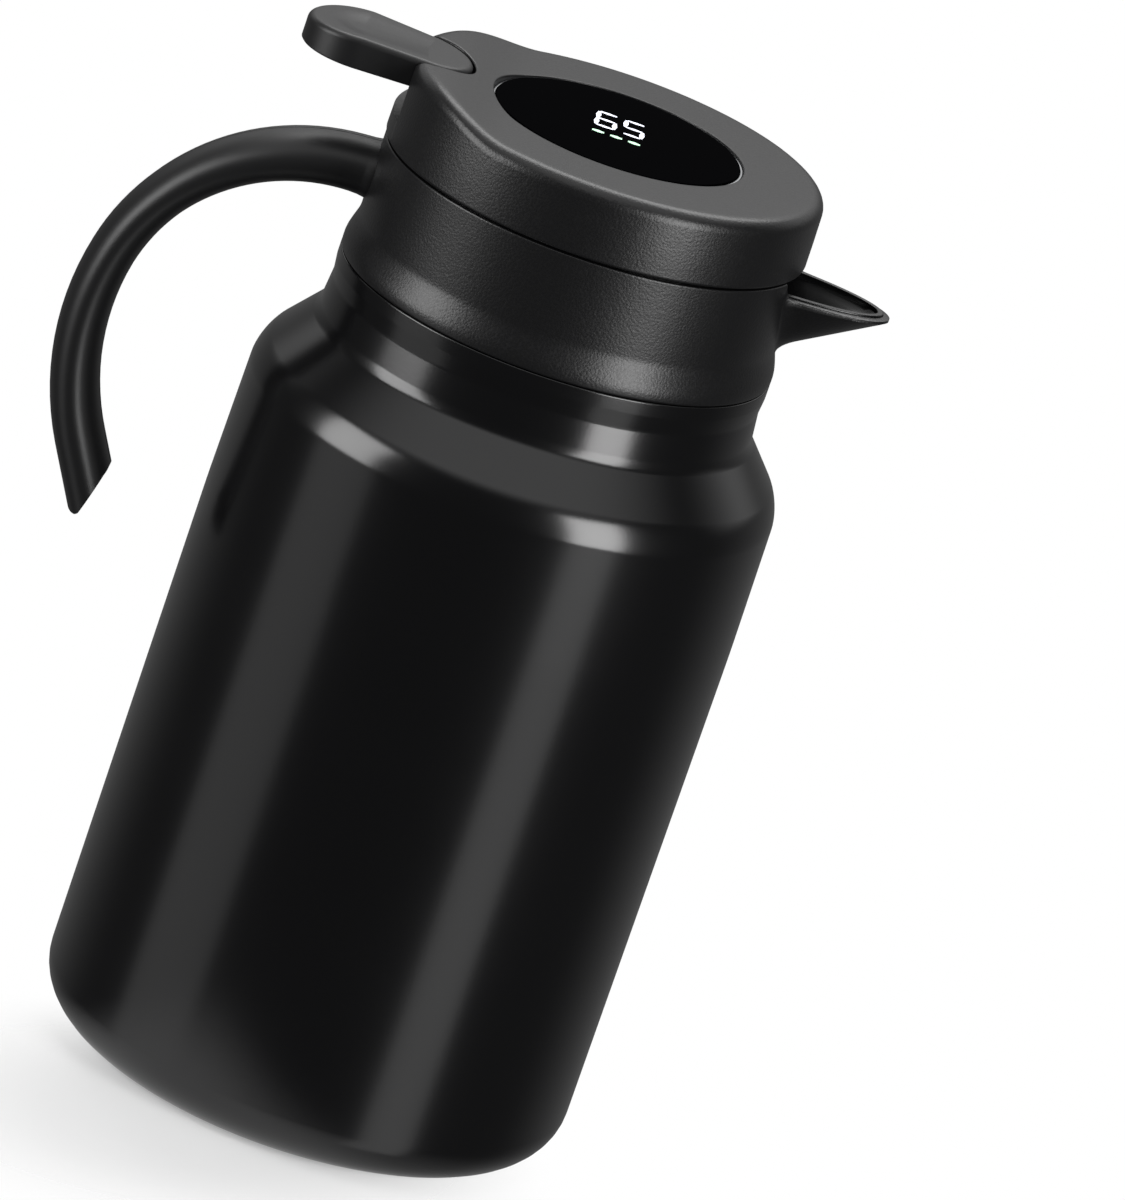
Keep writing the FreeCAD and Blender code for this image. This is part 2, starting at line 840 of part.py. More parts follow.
def stopper_body():
    inner = core_radius - core_wall
    plate_top = skirt_low + stopper_plate_wall
    body = turned([
        (skirt_radius, skirt_top, 0),
        (skirt_radius, skirt_low, 0),
        (core_radius, skirt_low, 0),
        (core_radius, core_low, 0),
        (valve_hole_radius, core_low, 0),
        (valve_hole_radius, core_floor_top, 0),
        (inner, core_floor_top, 0),
        (inner, deck_low, 0),
        (core_radius, deck_low, 0),
        (core_radius, plate_top, 0),
        (skirt_radius - skirt_wall, plate_top, 0),
        (skirt_radius - skirt_wall, skirt_top, 0),
    ])
    port = block(inner - overrun, core_radius + overrun, port_half_width,
                 skirt_low - port_height, skirt_low)
    return body.cut([port, probe_hole()])


def probe_hole():
    return disc(probe_radius + fit, tail_low, housing_low, 0, probe_offset)


def stopper_deck():
    body = disc(core_radius, deck_low, deck_top)
    return body.cut([disc(stem_radius + face_gap, deck_low, deck_top), probe_hole()])


def seal_carrier():
    """Ring under the stopper that holds the seal and the infuser's socket."""
    return ring(tail_radius - tail_wall, tail_radius, tail_low, core_low)


def stopper_seal():
    inner = tail_radius + face_gap
    return turned([
        (inner, tail_low, 0),
        (seal_bottom_radius, tail_low, 0),
        (seal_top_radius, core_low, 0),
        (inner, core_low, 0),
    ])


def basket_socket():
    neck = tail_radius - tail_wall - fit
    body = turned([
        (socket_bore_radius, socket_low, 0),
        (socket_radius, socket_low, 0),
        (socket_radius, tail_low, 0),
        (neck, tail_low, 0),
        (neck, tail_low + socket_spigot, 0),
        (socket_bore_radius, tail_low + socket_spigot, 0),
    ])
    low = socket_low + (socket_depth - notch_height) / 2
    notch = block(socket_radius - notch_depth, socket_radius + overrun, notch_width / 2, low,
                  low + notch_height)
    notches = []
    for i in range(notch_count):
        copy = notch.copy()
        copy.rotate(Vector(0, 0, 0), AXIS, 360.0 * i / notch_count)
        notches.append(copy)
    return body.cut(notches)


def valve_stem():
    shank = disc(stem_radius, core_low, stem_head_low)
    head = disc(stem_head_radius, stem_head_low, stem_head_top)
    return shank.fuse(head).removeSplitter()


def valve_washer():
    return tube(stem_radius, washer_radius, washer_low, washer_top)


def valve_plug():
    return tube(stem_radius, plug_radius, washer_top, plug_top)


def valve_spring():
    """Open coil between the plug and the deck, held down at rest."""
    low = plug_top + spring_wire / 2
    high = deck_low - spring_wire / 2
    pitch = (high - low) / spring_turns
    helix = Part.makeHelix(pitch, high - low, spring_radius)
    helix.translate(Vector(0, 0, low))
    half = spring_wire / 2 - face_gap
    corners = [(half, half), (-half, half), (-half, -half), (half, -half), (half, half)]
    points = [Vector(spring_radius + a, 0, low + b) for a, b in corners]
    profile = Part.makePolygon(points)
    return Part.Wire(helix).makePipeShell([profile], True, True)


def display_glass():
    top = cap_top - display_drop
    return disc(display_radius - display_wall - fit / 2, top - display_glass_wall, top)


def display_housing():
    glass_low = cap_top - display_drop - display_glass_wall
    seat = display_seat_radius
    return turned([
        (0, housing_low, 0),
        (display_radius, housing_low, 0),
        (display_radius, cap_top, 0),
        (display_radius - display_wall, cap_top, 0),
        (display_radius - display_wall, glass_low, 0),
        (seat, glass_low, 0),
        (seat, housing_low + display_floor_wall, 0),
        (0, housing_low + display_floor_wall, 0),
    ])


def cell_holder():
    low = housing_low + display_floor_wall
    half = holder_size / 2
    high = low + holder_floor + cell_height
    body = block(-half, half, half, low, high)
    return body.cut(disc(cell_radius + fit, low + holder_floor, high))


def coin_cell():
    low = housing_low + display_floor_wall + holder_floor
    return disc(cell_radius, low, low + cell_height)


def display_board():
    low = housing_low + display_floor_wall + holder_floor + cell_height
    half_length = display_seat_radius * board_length_share
    half_width = display_seat_radius * board_width_share
    return block(-half_length, half_length, half_width, low, low + board_wall)


def digit_module():
    low = housing_low + display_floor_wall + holder_floor + cell_height + board_wall
    high = cap_top - display_drop - display_glass_wall - fit
    half = digit_module_length / 2
    return block(-half, half, digit_module_width / 2, low, high)


def temperature_probe():
    return disc(probe_radius, housing_low - probe_length, housing_low, 0, probe_offset)


def infuser_ring():
    low = socket_low - fit - infuser_ring_height
    step = socket_low - fit
    inner = infuser_ring_radius - infuser_wall
    spigot_inner = infuser_spigot_radius - infuser_wall
    lip = basket_radius + fit
    return turned([
        (lip, low, 0),
        (infuser_ring_radius, low, 0),
        (infuser_ring_radius, step, 0),
        (infuser_spigot_radius, step, 0),
        (infuser_spigot_radius, step + infuser_spigot_height, 0),
        (spigot_inner, step + infuser_spigot_height, 0),
        (spigot_inner, step - infuser_wall, 0),
        (inner, step - infuser_wall, 0),
        (inner, low + infuser_wall, 0),
        (lip, low + infuser_wall, 0),
    ])


def infuser_basket():
    top = socket_low - fit - infuser_ring_height + infuser_wall
    low = top - basket_length - cup_grip
    inner = basket_radius - basket_wall
    body = turned([
        (inner, low, 0),
        (basket_radius, low, 0),
        (basket_radius, top, 0),
        (basket_radius + basket_rim, top, 0),
        (basket_radius + basket_rim, top + basket_wall, 0),
        (inner, top + basket_wall, 0),
    ])
    high = top - infuser_wall - plain_band
    bottom = top - basket_length + hole_margin
    pitch = (high - bottom) / hole_rows
    cutters = []
    for row in range(hole_rows):
        centre = bottom + pitch * (row + 0.5)
        hole = block(basket_radius - overrun, basket_radius + overrun, hole_size / 2,
                     centre - hole_size / 2, centre + hole_size / 2)
        for column in range(hole_columns):
            copy = hole.copy()
            turn = 360.0 * (column + 0.5 * (row % 2)) / hole_columns
            copy.rotate(Vector(0, 0, 0), AXIS, turn)
            cutters.append(copy)
    return body.cut(cutters)


def infuser_base():
    top = socket_low - fit - infuser_ring_height + infuser_wall - basket_length
    low = top - base_cup_height
    outer = basket_radius + fit + basket_wall
    inner = basket_radius + fit
    return turned([
        (0, low, 0),
        (outer - base_cup_chamfer, low, 0),
        (outer, low + base_cup_chamfer, 0),
        (outer, top, 0),
        (inner, top, 0),
        (inner, low + base_cup_chamfer, 0),
        (inner - base_cup_chamfer + basket_wall, low + basket_wall, 0),
        (0, low + basket_wall, 0),
    ])


def handle_left():
    return handle_half(1)


def handle_right():
    return handle_half(-1)


PARTS = {
    "outer_shell": outer_shell,
    "inner_flask": inner_flask,
    "base_plate": base_plate,
    "vacuum_seal": vacuum_seal,
    "getter_pellet": getter_pellet,
    "collar": collar,
    "pour_liner": pour_liner,
    "neck_gasket": neck_gasket,
    "handle_left": handle_left,
    "handle_right": handle_right,
    "handle_screws": handle_screws,
    "cap_cover": cap_cover,
    "lever_pin": lever_pin,
    "stopper_body": stopper_body,
    "stopper_deck": stopper_deck,
    "seal_carrier": seal_carrier,
    "stopper_seal": stopper_seal,
    "basket_socket": basket_socket,
    "valve_spring": valve_spring,
    "display_housing": display_housing,
    "display_glass": display_glass,
    "display_board": display_board,
    "digit_module": digit_module,
    "cell_holder": cell_holder,
    "coin_cell": coin_cell,
    "temperature_probe": temperature_probe,
    "thumb_lever": thumb_lever,
    "valve_stem": valve_stem,
    "valve_plug": valve_plug,
    "valve_washer": valve_washer,
    "infuser_ring": infuser_ring,
    "infuser_basket": infuser_basket,
    "infuser_base": infuser_base,
}

os.makedirs("parts", exist_ok=True)
for name, make in PARTS.items():
    shape = make()
    shape.exportStep("parts/" + name + ".step")
    box = shape.BoundBox
    print(name, len(shape.Solids), "solids", shape.isValid(), round(shape.Volume, 1),
          [round(v, 1) for v in (box.XMin, box.XMax, box.YMin, box.YMax, box.ZMin, box.ZMax)])
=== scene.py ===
"""Looks of the insulated beverage jug: its surfaces, finishes, light and camera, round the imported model."""

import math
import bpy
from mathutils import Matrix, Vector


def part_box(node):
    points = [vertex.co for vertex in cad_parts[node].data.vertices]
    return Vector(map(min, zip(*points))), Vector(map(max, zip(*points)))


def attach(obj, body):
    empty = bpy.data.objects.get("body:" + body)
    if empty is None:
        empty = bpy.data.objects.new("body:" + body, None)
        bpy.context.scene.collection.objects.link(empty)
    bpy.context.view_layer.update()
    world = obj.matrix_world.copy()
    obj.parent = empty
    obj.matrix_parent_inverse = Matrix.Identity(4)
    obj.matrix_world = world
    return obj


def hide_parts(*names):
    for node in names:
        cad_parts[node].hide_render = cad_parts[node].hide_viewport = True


bl_info = {
    "name": "Insulated Beverage Jug",
    "version": (1, 0, 0),
    "blender": (4, 5, 0),
    "location": "3D View > Sidebar > Jug",
    "description": "Builds the looks of a thermal jug with press lever, temperature display and infuser",
    "category": "Add Mesh",
}

import bmesh
import bpy
from mathutils import Matrix, Vector

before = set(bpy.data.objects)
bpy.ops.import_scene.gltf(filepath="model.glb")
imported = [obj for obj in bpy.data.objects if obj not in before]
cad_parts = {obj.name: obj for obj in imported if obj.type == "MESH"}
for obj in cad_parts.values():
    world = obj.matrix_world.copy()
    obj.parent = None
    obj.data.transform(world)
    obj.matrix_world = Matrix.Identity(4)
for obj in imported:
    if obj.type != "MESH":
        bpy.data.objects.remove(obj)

# How near in metres counts as the same place, and how many sides a turned piece has.
CLOSE = 0.00002
AROUND = 160

# Heights of the main levels, in millimetres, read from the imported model.
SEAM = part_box("collar")[0].z * 1000 - 0.05
COLLAR_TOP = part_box("collar")[1].z * 1000
CAP_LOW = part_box("cap_cover")[0].z * 1000
GLASS_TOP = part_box("display_glass")[1].z * 1000
CAP_TOP = GLASS_TOP + 0.1
CAP_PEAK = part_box("cap_cover")[1].z * 1000
JUG_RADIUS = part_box("outer_shell")[1].x * 1000
SPOUT_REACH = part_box("collar")[1].x * 1000


def mm(value):
    """Millimetres as Blender's metres."""
    return value * 0.001


def linear(code):
    """An sRGB hex colour as Blender's linear colour."""
    shares = [int(code[i:i + 2], 16) / 255 for i in (1, 3, 5)]
    values = [s / 12.92 if s <= 0.04045 else ((s + 0.055) / 1.055) ** 2.4 for s in shares]
    return (*values, 1.0)


# Modelling by hand


def deselect():
    """Leaves edit mode with nothing selected."""
    if bpy.context.mode != "OBJECT":
        bpy.ops.object.mode_set(mode="OBJECT")
    bpy.ops.object.select_all(action="DESELECT")


def start(obj):
    """Makes one piece the only one selected and the active one."""
    deselect()
    obj.select_set(True)
    bpy.context.view_layer.objects.active = obj


def edit(obj):
    """Opens a piece in edit mode with all of it selected."""
    start(obj)
    bpy.ops.object.mode_set(mode="EDIT")
    bpy.ops.mesh.select_all(action="SELECT")


def settled(name):
    """Names the new piece and puts its place into its mesh."""
    obj = bpy.context.active_object
    obj.name = name
    obj.data.name = name
    bpy.ops.object.transform_apply(location=True, rotation=True, scale=True)
    return obj


def pick(obj, kind, test):
    """In edit mode, selects only the edges or the faces that pass a test of their place."""
    bpy.ops.mesh.select_mode(type=kind)
    bpy.ops.mesh.select_all(action="DESELECT")
    mesh = bmesh.from_edit_mesh(obj.data)
    for item in {"EDGE": mesh.edges, "FACE": mesh.faces}[kind]:
        item.select_set(test(item))
    mesh.select_flush_mode()
    bmesh.update_edit_mesh(obj.data)


def face_outwards():
    """In edit mode, selects everything and turns all faces outwards."""
    bpy.ops.mesh.select_all(action="SELECT")
    bpy.ops.mesh.normals_make_consistent(inside=False)


def at_corner(radius, height):
    """Test for the edges that go round at one corner of a turned form."""
    def test(edge):
        return all(
            abs(math.hypot(v.co.x, v.co.y) - mm(radius)) < CLOSE and abs(v.co.z - mm(height)) < CLOSE
            for v in edge.verts
        )
    return test


def bevel(reach, segments):
    """Rounds the selected edges."""
    bpy.ops.mesh.bevel(offset_type="OFFSET", offset=mm(reach), segments=segments, profile=0.5,
                       affect="EDGES", clamp_overlap=False)


def turned(name, corners, around=AROUND, segments=6):
    """A turned form from (radius, height, round) corners in millimetres, taken round its section."""
    deselect()
    on_axis = 0.01
    radius, height = max(corners[0][0], on_axis), corners[0][1]
    bpy.ops.mesh.primitive_circle_add(vertices=around, radius=mm(radius), location=(0, 0, mm(height)))
    obj = settled(name)
    edit(obj)
    closed = corners[0][0] > 0 or corners[-1][0] > 0
    following = corners[1:] + (corners[:1] if closed else [])
    for corner in following:
        rise = mm(corner[1] - height)
        scale = max(corner[0], on_axis) / radius
        radius, height = max(corner[0], on_axis), corner[1]
        bpy.ops.mesh.extrude_region_move(TRANSFORM_OT_translate={"value": (0, 0, rise)})
        bpy.ops.transform.resize(value=(scale, scale, 1), center_override=(0, 0, mm(height)))
    bpy.ops.mesh.select_all(action="SELECT")
    bpy.ops.mesh.remove_doubles(threshold=CLOSE / 4 if closed else mm(2.5 * on_axis))
    face_outwards()
    count = len(corners)
    for i, (radius, height, curve) in enumerate(corners):
        if not curve:
            continue
        here = Vector((radius, height))
        before = (Vector(corners[i - 1][:2]) - here).normalized()
        after = (Vector(corners[(i + 1) % count][:2]) - here).normalized()
        half = before.angle(after) / 2
        pick(obj, "EDGE", at_corner(radius, height))
        bevel(curve / math.tan(half), segments if curve > 1 else 3)
    bpy.ops.object.mode_set(mode="OBJECT")
    return obj


def stacked(name, rings):
    """A closed form through rings of equal count, each a list of (x, y, z) points in millimetres."""
    deselect()
    bpy.ops.mesh.primitive_circle_add(vertices=len(rings[0]), radius=mm(1))
    obj = settled(name)
    for vertex, point in zip(obj.data.vertices, rings[0]):
        vertex.co = Vector(point) * 0.001
    edit(obj)
    bpy.ops.mesh.edge_face_add()
    pick(obj, "EDGE", lambda edge: True)
    for ring in rings[1:]:
        bpy.ops.mesh.extrude_edges_move()
        mesh = bmesh.from_edit_mesh(obj.data)
        mesh.verts.index_update()
        fresh = [v for v in mesh.verts if v.select]
        for vertex, point in zip(sorted(fresh, key=lambda v: v.index), ring):
            vertex.co = Vector(point) * 0.001
        bmesh.update_edit_mesh(obj.data)
    bpy.ops.mesh.edge_face_add()
    face_outwards()
    bpy.ops.object.mode_set(mode="OBJECT")
    return obj


def box(name, low, high):
    """A plain block between two corners in millimetres, used as a cutter or a blank."""
    deselect()
    size = Vector(high) - Vector(low)
    centre = (Vector(high) + Vector(low)) / 2
    bpy.ops.mesh.primitive_cube_add(size=0.001, location=centre * 0.001, scale=size)
    return settled(name)


def rod(name, radius, half_length, x, z):
    """A cylinder lying along Y, in millimetres, used as a cutter or a boss."""
    deselect()
    bpy.ops.mesh.primitive_cylinder_add(vertices=48, radius=mm(radius), depth=mm(2 * half_length),
                                        location=(mm(x), 0, mm(z)), rotation=(math.radians(90), 0, 0))
    return settled(name)


def drum(radius, low, high):
    """A plain cylinder on the axis, in millimetres, used as a cutter."""
    return turned("drum", [(0, low, 0), (radius, low, 0), (radius, high, 0), (0, high, 0)])


def shaped(obj, place):
    """Moves each vertex of a piece to where a function of its place puts it, in millimetres."""
    for vertex in obj.data.vertices:
        vertex.co = Vector(place(*(vertex.co * 1000))) * 0.001
    obj.data.update()


def combined(obj, other, operation):
    """Cuts away, joins on or keeps the overlap with a second form, which is used up."""
    start(obj)
    change = obj.modifiers.new("form", "BOOLEAN")
    change.operation = operation
    change.object = other
    change.solver = "EXACT"
    bpy.ops.object.modifier_apply(modifier=change.name)
    bpy.data.objects.remove(other)


def finished(obj, finish, body, slot, *nodes, angle=32):
    """Smooths a piece, gives it its finish and puts it in its CAD nodes' place."""
    start(obj)
    bpy.ops.object.shade_smooth_by_angle(angle=math.radians(angle))
    even = obj.modifiers.new("even_shading", "WEIGHTED_NORMAL")
    even.keep_sharp = True
    bpy.ops.object.modifier_apply(modifier=even.name)
    obj.data.materials.clear()
    obj.data.materials.append(finish)
    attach(obj, body)
    if nodes:
        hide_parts(*nodes)


def between(share, low, high):
    """The value at a share of the way from low to high."""
    return low + (high - low) * share


def soft_step(value, low, high):
    """Smooth rise from 0 at low to 1 at high."""
    share = min(1, max(0, (value - low) / (high - low)))
    return share * share * (3 - 2 * share)


def steps(low, high, count):
    """Evenly spaced heights from low to high, without either end."""
    return [low + (high - low) * i / count for i in range(1, count)]


def smooth_gap(first, second, blend):
    """How much two surfaces that meet are filled out, or hollowed, where they are closer than a blend."""
    near = max(0.0, blend - abs(first - second)) / blend
    return near * near * blend / 4


def quarter(count):
    """Evenly spaced angles from 0 to a right angle."""
    return [math.radians(90 * i / count) for i in range(count + 1)]


# Finishes


def add_node(tree, kind, settings=None, links=None):
    """Adds a node, with its settings and socket values, fed by sockets or by nodes' first outputs."""
    node = tree.nodes.new(kind)
    for name, value in (settings or {}).items():
        if isinstance(name, int) or name in node.inputs:
            node.inputs[name].default_value = value
        else:
            setattr(node, name, value)
    for socket, source in (links or {}).items():
        output = source.outputs[0] if isinstance(source, bpy.types.Node) else source
        tree.links.new(output, node.inputs[socket])
    return node


def new_finish(name, colour, roughness, settings=None):
    """A material of one colour and roughness, with further values set on its shader's own sockets."""
    finish = bpy.data.materials.new(name)
    finish.use_nodes = True
    shader = finish.node_tree.nodes["Principled BSDF"]
    for socket, value in {"Base Color": colour, "Roughness": roughness, **(settings or {})}.items():
        shader.inputs[socket].default_value = value
    return finish


def place_of(tree):
    """Feeds a pattern the object coordinates, in metres."""
    return {"Vector": add_node(tree, "ShaderNodeTexCoord").outputs["Object"]}


def vary_roughness(tree, pattern, spread):
    """Lets a pattern move the roughness down and up by a spread."""
    rough = tree.nodes["Principled BSDF"].inputs["Roughness"]
    low, high = rough.default_value - spread, rough.default_value + spread
    moved = add_node(tree, "ShaderNodeMapRange", {"To Min": low, "To Max": high}, {"Value": pattern})
    tree.links.new(moved.outputs[0], rough)


def relief(tree, pattern, depth, strength=1.0):
    """Lets a pattern raise and sink the surface by a depth in millimetres."""
    reach = {"Strength": strength, "Distance": mm(depth)}
    bump = add_node(tree, "ShaderNodeBump", reach, {"Height": pattern})
    tree.links.new(bump.outputs[0], tree.nodes["Principled BSDF"].inputs["Normal"])


def marked(finish, width, detail=2.0, depth=0.0, strength=1.0, spread=0.0):
    """Gives a finish cloudy marks of a width in millimetres, by their relief or a spread of its roughness."""
    tree = finish.node_tree
    marks = add_node(tree, "ShaderNodeTexNoise", {"Scale": 1 / mm(width), "Detail": detail}, place_of(tree))
    if depth:
        relief(tree, marks.outputs["Fac"], depth, strength)
    if spread:
        vary_roughness(tree, marks.outputs["Fac"], spread)
    return finish


def powder_coated_steel():
    """Baked powder coat on steel: satin, with a very fine orange peel that softens each highlight."""
    colour = bpy.context.scene.jug_colours.coating
    finish = new_finish("black_powder_coated_steel", colour, 0.2, {"IOR": 1.58})
    return marked(marked(finish, 0.7, depth=0.006), 30, spread=0.02)


def grained_plastic():
    """Injection-moulded polypropylene with the leather grain of its mould: dull, with tiny pebbles."""
    scene = bpy.context.scene
    finish = new_finish("grained_black_polypropylene", scene.jug_colours.shell_plastic, 0.35)
    tree = finish.node_tree
    pebbles = {"feature": "SMOOTH_F1", "Scale": 1 / scene.jug_sizes.grain_width}
    grain = add_node(tree, "ShaderNodeTexVoronoi", pebbles, place_of(tree))
    relief(tree, grain.outputs["Distance"], 0.035)
    vary_roughness(tree, grain.outputs["Distance"], 0.05)
    return finish


def satin_plastic():
    """Moulded ABS from a fine-blasted mould: an even satin with the faintest texture."""
    finish = new_finish("satin_black_abs", bpy.context.scene.jug_colours.grip_plastic, 0.42)
    return marked(finish, 0.4, 3.0, depth=0.01, spread=0.04)


def liner_plastic():
    """Food-grade polypropylene from a polished mould: smoother and glossier than the outside."""
    finish = new_finish("glossy_black_polypropylene", bpy.context.scene.jug_colours.liner_plastic, 0.24)
    return marked(finish, 6, depth=0.02, strength=0.5)


def black_window():
    """Tinted acrylic over the display, with a coating that takes nearly all of its reflection away."""
    finish = new_finish("tinted_black_acrylic", linear("#010102"), 0.065, {"Specular IOR Level": 0.0005})
    return marked(finish, 9, 4.0, spread=0.025)


def lit_segment(name, colour, strength):
    """A lit segment of the display: even light from behind a diffusing mask."""
    return new_finish(name, colour, 0.5, {"Emission Color": colour, "Emission Strength": strength})


def bare_metal(name, code, roughness):
    """A metal without a coat, whose index keeps the default."""
    return new_finish(name, linear(code), roughness, {"Metallic": 1.0})


def bright_metal():
    """Polished stainless steel of the thin rim round the display: a mirror with faint scuffs."""
    return marked(bare_metal("polished_stainless_rim", "#c9cbcd", 0.17), 0.6, spread=0.05)


def spring_wire():
    """Drawn stainless spring wire: slightly darkened by its heat treatment, with die marks."""
    return marked(bare_metal("drawn_spring_wire", "#8f8c86", 0.34), 0.8, 3.0, spread=0.08)


def nickel_plate():
    """Bright nickel plate of the coin cell: warm and clear, with a fine stamped lay."""
    return marked(bare_metal("nickel_plated_steel", "#c4c1b8", 0.27), 1.2, 3.0, spread=0.07)


def lined(finish, spread, length, width, detail, depth=0.0):
    """Gives a finish fine lines round its axis, of a length and a width in millimetres."""
    tree = finish.node_tree
    scale = (1 / mm(length), 1 / mm(length), 1 / mm(width))
    lay = add_node(tree, "ShaderNodeMapping", {"Scale": scale}, place_of(tree))
    lines = add_node(tree, "ShaderNodeTexNoise", {"Scale": 1.0, "Detail": detail}, {"Vector": lay})
    vary_roughness(tree, lines.outputs["Fac"], spread)
    if depth:
        relief(tree, lines.outputs["Fac"], depth, 0.6)
    return finish


def brushed_steel():
    """Stainless steel brushed round its axis: fine lines that draw the highlight out sideways."""
    return lined(bare_metal("brushed_stainless_steel", "#b9b8b4", 0.32), 0.08, 40, 0.25, 4.0, depth=0.01)


def polished_steel():
    """Polished stainless steel of the infuser's top ring: a clear mirror with faint turning lines."""
    return lined(bare_metal("polished_stainless_steel", "#cfcfcd", 0.16), 0.06, 60, 0.4, 3.0)


def perforated_steel():
    """Etched stainless sleeve: staggered round holes between plain bands, spaced wide so that they show."""
    pitch, hole, radius, low, high = mm(1.7), 0.29, mm(24.1), mm(119.0), mm(160.2)
    finish = bare_metal("perforated_stainless_steel", "#c2c2bf", 0.28)
    tree = finish.node_tree
    parts = add_node(tree, "ShaderNodeSeparateXYZ", None, place_of(tree))
    math_node = "ShaderNodeMath"
    turn = add_node(tree, math_node, {"operation": "ARCTAN2"}, {0: parts.outputs["Y"], 1: parts.outputs["X"]})
    columns = round(math.tau * radius / pitch) / math.tau
    column = add_node(tree, math_node, {"operation": "MULTIPLY", 1: columns}, {0: turn})
    rows = {"operation": "DIVIDE", 1: pitch * math.sqrt(3)}
    row = add_node(tree, math_node, rows, {0: parts.outputs["Z"]})
    apart = []
    for shift in (0.0, 0.5):
        ways = []
        for way in (column, row):
            moved = add_node(tree, math_node, {"operation": "ADD", 1: shift}, {0: way})
            ways.append(add_node(tree, math_node, {"operation": "WRAP", 1: 0.5, 2: -0.5}, {0: moved}))
        across, along = ways
        along = add_node(tree, math_node, {"operation": "MULTIPLY", 1: math.sqrt(3)}, {0: along})
        spot = add_node(tree, "ShaderNodeCombineXYZ", None, {0: across, 1: along})
        length = add_node(tree, "ShaderNodeVectorMath", {"operation": "LENGTH"}, {0: spot})
        apart.append(length.outputs["Value"])
    nearest = add_node(tree, math_node, {"operation": "MINIMUM"}, {0: apart[0], 1: apart[1]})
    solid = add_node(tree, math_node, {"operation": "GREATER_THAN", 1: hole}, {0: nearest})
    above = add_node(tree, math_node, {"operation": "GREATER_THAN", 1: high}, {0: parts.outputs["Z"]})
    below = add_node(tree, math_node, {"operation": "LESS_THAN", 1: low}, {0: parts.outputs["Z"]})
    band = add_node(tree, math_node, {"operation": "MAXIMUM"}, {0: above, 1: below})
    wall = add_node(tree, math_node, {"operation": "MAXIMUM"}, {0: band, 1: solid})
    tree.links.new(wall.outputs[0], tree.nodes["Principled BSDF"].inputs["Alpha"])
    return finish


def milky_silicone():
    """Translucent white silicone of the seals: soft, waxy and lit from within."""
    waxy = {"Subsurface Weight": 0.35, "Subsurface Scale": mm(2), "IOR": 1.41}
    return marked(new_finish("milky_white_silicone", linear("#dfe3e6"), 0.43, waxy), 4, spread=0.07)


def green_board():
    """Glass-epoxy circuit board under green solder mask, with a faint weave."""
    finish = new_finish("green_circuit_board", linear("#1f5a34"), 0.36)
    tree = finish.node_tree
    weave = add_node(tree, "ShaderNodeTexWave", {"Scale": 1 / mm(9), "Distortion": 0.4}, place_of(tree))
    relief(tree, weave.outputs["Fac"], 0.02, 0.5)
    vary_roughness(tree, weave.outputs["Fac"], 0.06)
    return finish


def getter_metal():
    """Sintered getter alloy: dark grey, dull and slightly porous."""
    finish = bare_metal("sintered_getter_alloy", "#5b5a58", 0.6)
    tree = finish.node_tree
    pores = add_node(tree, "ShaderNodeTexVoronoi", {"Scale": 1 / mm(0.3)}, place_of(tree))
    relief(tree, pores.outputs["Distance"], 0.05)
    return finish


def solder_glass():
    """Bead of solder glass that closes the vacuum: grey, smooth and rounded."""
    finish = new_finish("grey_solder_glass", linear("#6d7275"), 0.2, {"IOR": 1.7})
    return marked(finish, 2, depth=0.05, strength=0.5)


# Sizes and colours a user would change


class JugSizes(bpy.types.PropertyGroup):
    """Sizes of the details that the looks add."""
    grain_width: bpy.props.FloatProperty(
        name="Grain width", description="Width of one pebble of the moulded grain", default=0.0005,
        min=0.0002, max=0.003, precision=5, unit="LENGTH", subtype="DISTANCE")
    parting_groove: bpy.props.FloatProperty(
        name="Parting groove", description="Round on each half of the handle along its parting line",
        default=0.00035, min=0.0001, max=0.001, precision=5, unit="LENGTH", subtype="DISTANCE")
    digit_height: bpy.props.FloatProperty(
        name="Digit height", description="Height of the display's digits", default=0.0105,
        min=0.003, max=0.014, precision=4, unit="LENGTH", subtype="DISTANCE")


class JugColours(bpy.types.PropertyGroup):
    """Colours of the jug's finishes."""
    coating: bpy.props.FloatVectorProperty(
        name="Coating", description="Powder coat of the steel body", size=4, subtype="COLOR",
        min=0, max=1, default=linear("#070708"))
    shell_plastic: bpy.props.FloatVectorProperty(
        name="Collar and cap", description="Grained plastic of the collar and the cap", size=4,
        subtype="COLOR", min=0, max=1, default=linear("#0d0d0e"))
    grip_plastic: bpy.props.FloatVectorProperty(
        name="Handle and lever", description="Satin plastic of the handle and the lever", size=4,
        subtype="COLOR", min=0, max=1, default=linear("#0e0e0f"))
    liner_plastic: bpy.props.FloatVectorProperty(
        name="Liner and stopper", description="Glossy plastic inside the spout and of the stopper",
        size=4, subtype="COLOR", min=0, max=1, default=linear("#09090a"))


# Pieces


def shell_profile():
    """Outside of the steel body from the foot to the neck, then the inside of its wall."""
    return [
        (49.0, 0.0, 0.4), (JUG_RADIUS, 0.0, 11.5), (JUG_RADIUS, 129.0, 260), (61.45, 163.3, 12),
        (50.8, SEAM - 15.0, 5), (50.0, SEAM - 7.0, 4), (50.4, SEAM - 3.2, 2), (50.4, SEAM, 0.35),
        (47.0, SEAM, 0), (47.0, SEAM + 9.4, 0), (42.3, SEAM + 9.4, 0), (42.3, SEAM + 8.6, 0),
        (46.2, SEAM + 8.6, 0), (46.2, SEAM - 0.8, 0), (49.4, SEAM - 0.8, 0), (49.4, SEAM - 14.2, 0),
        (59.6, 162.2, 0), (61.2, 127.0, 0), (61.2, 12.0, 0), (58.0, 4.2, 0),
        (51.0, 0.8, 0), (49.0, 0.8, 0),
    ]


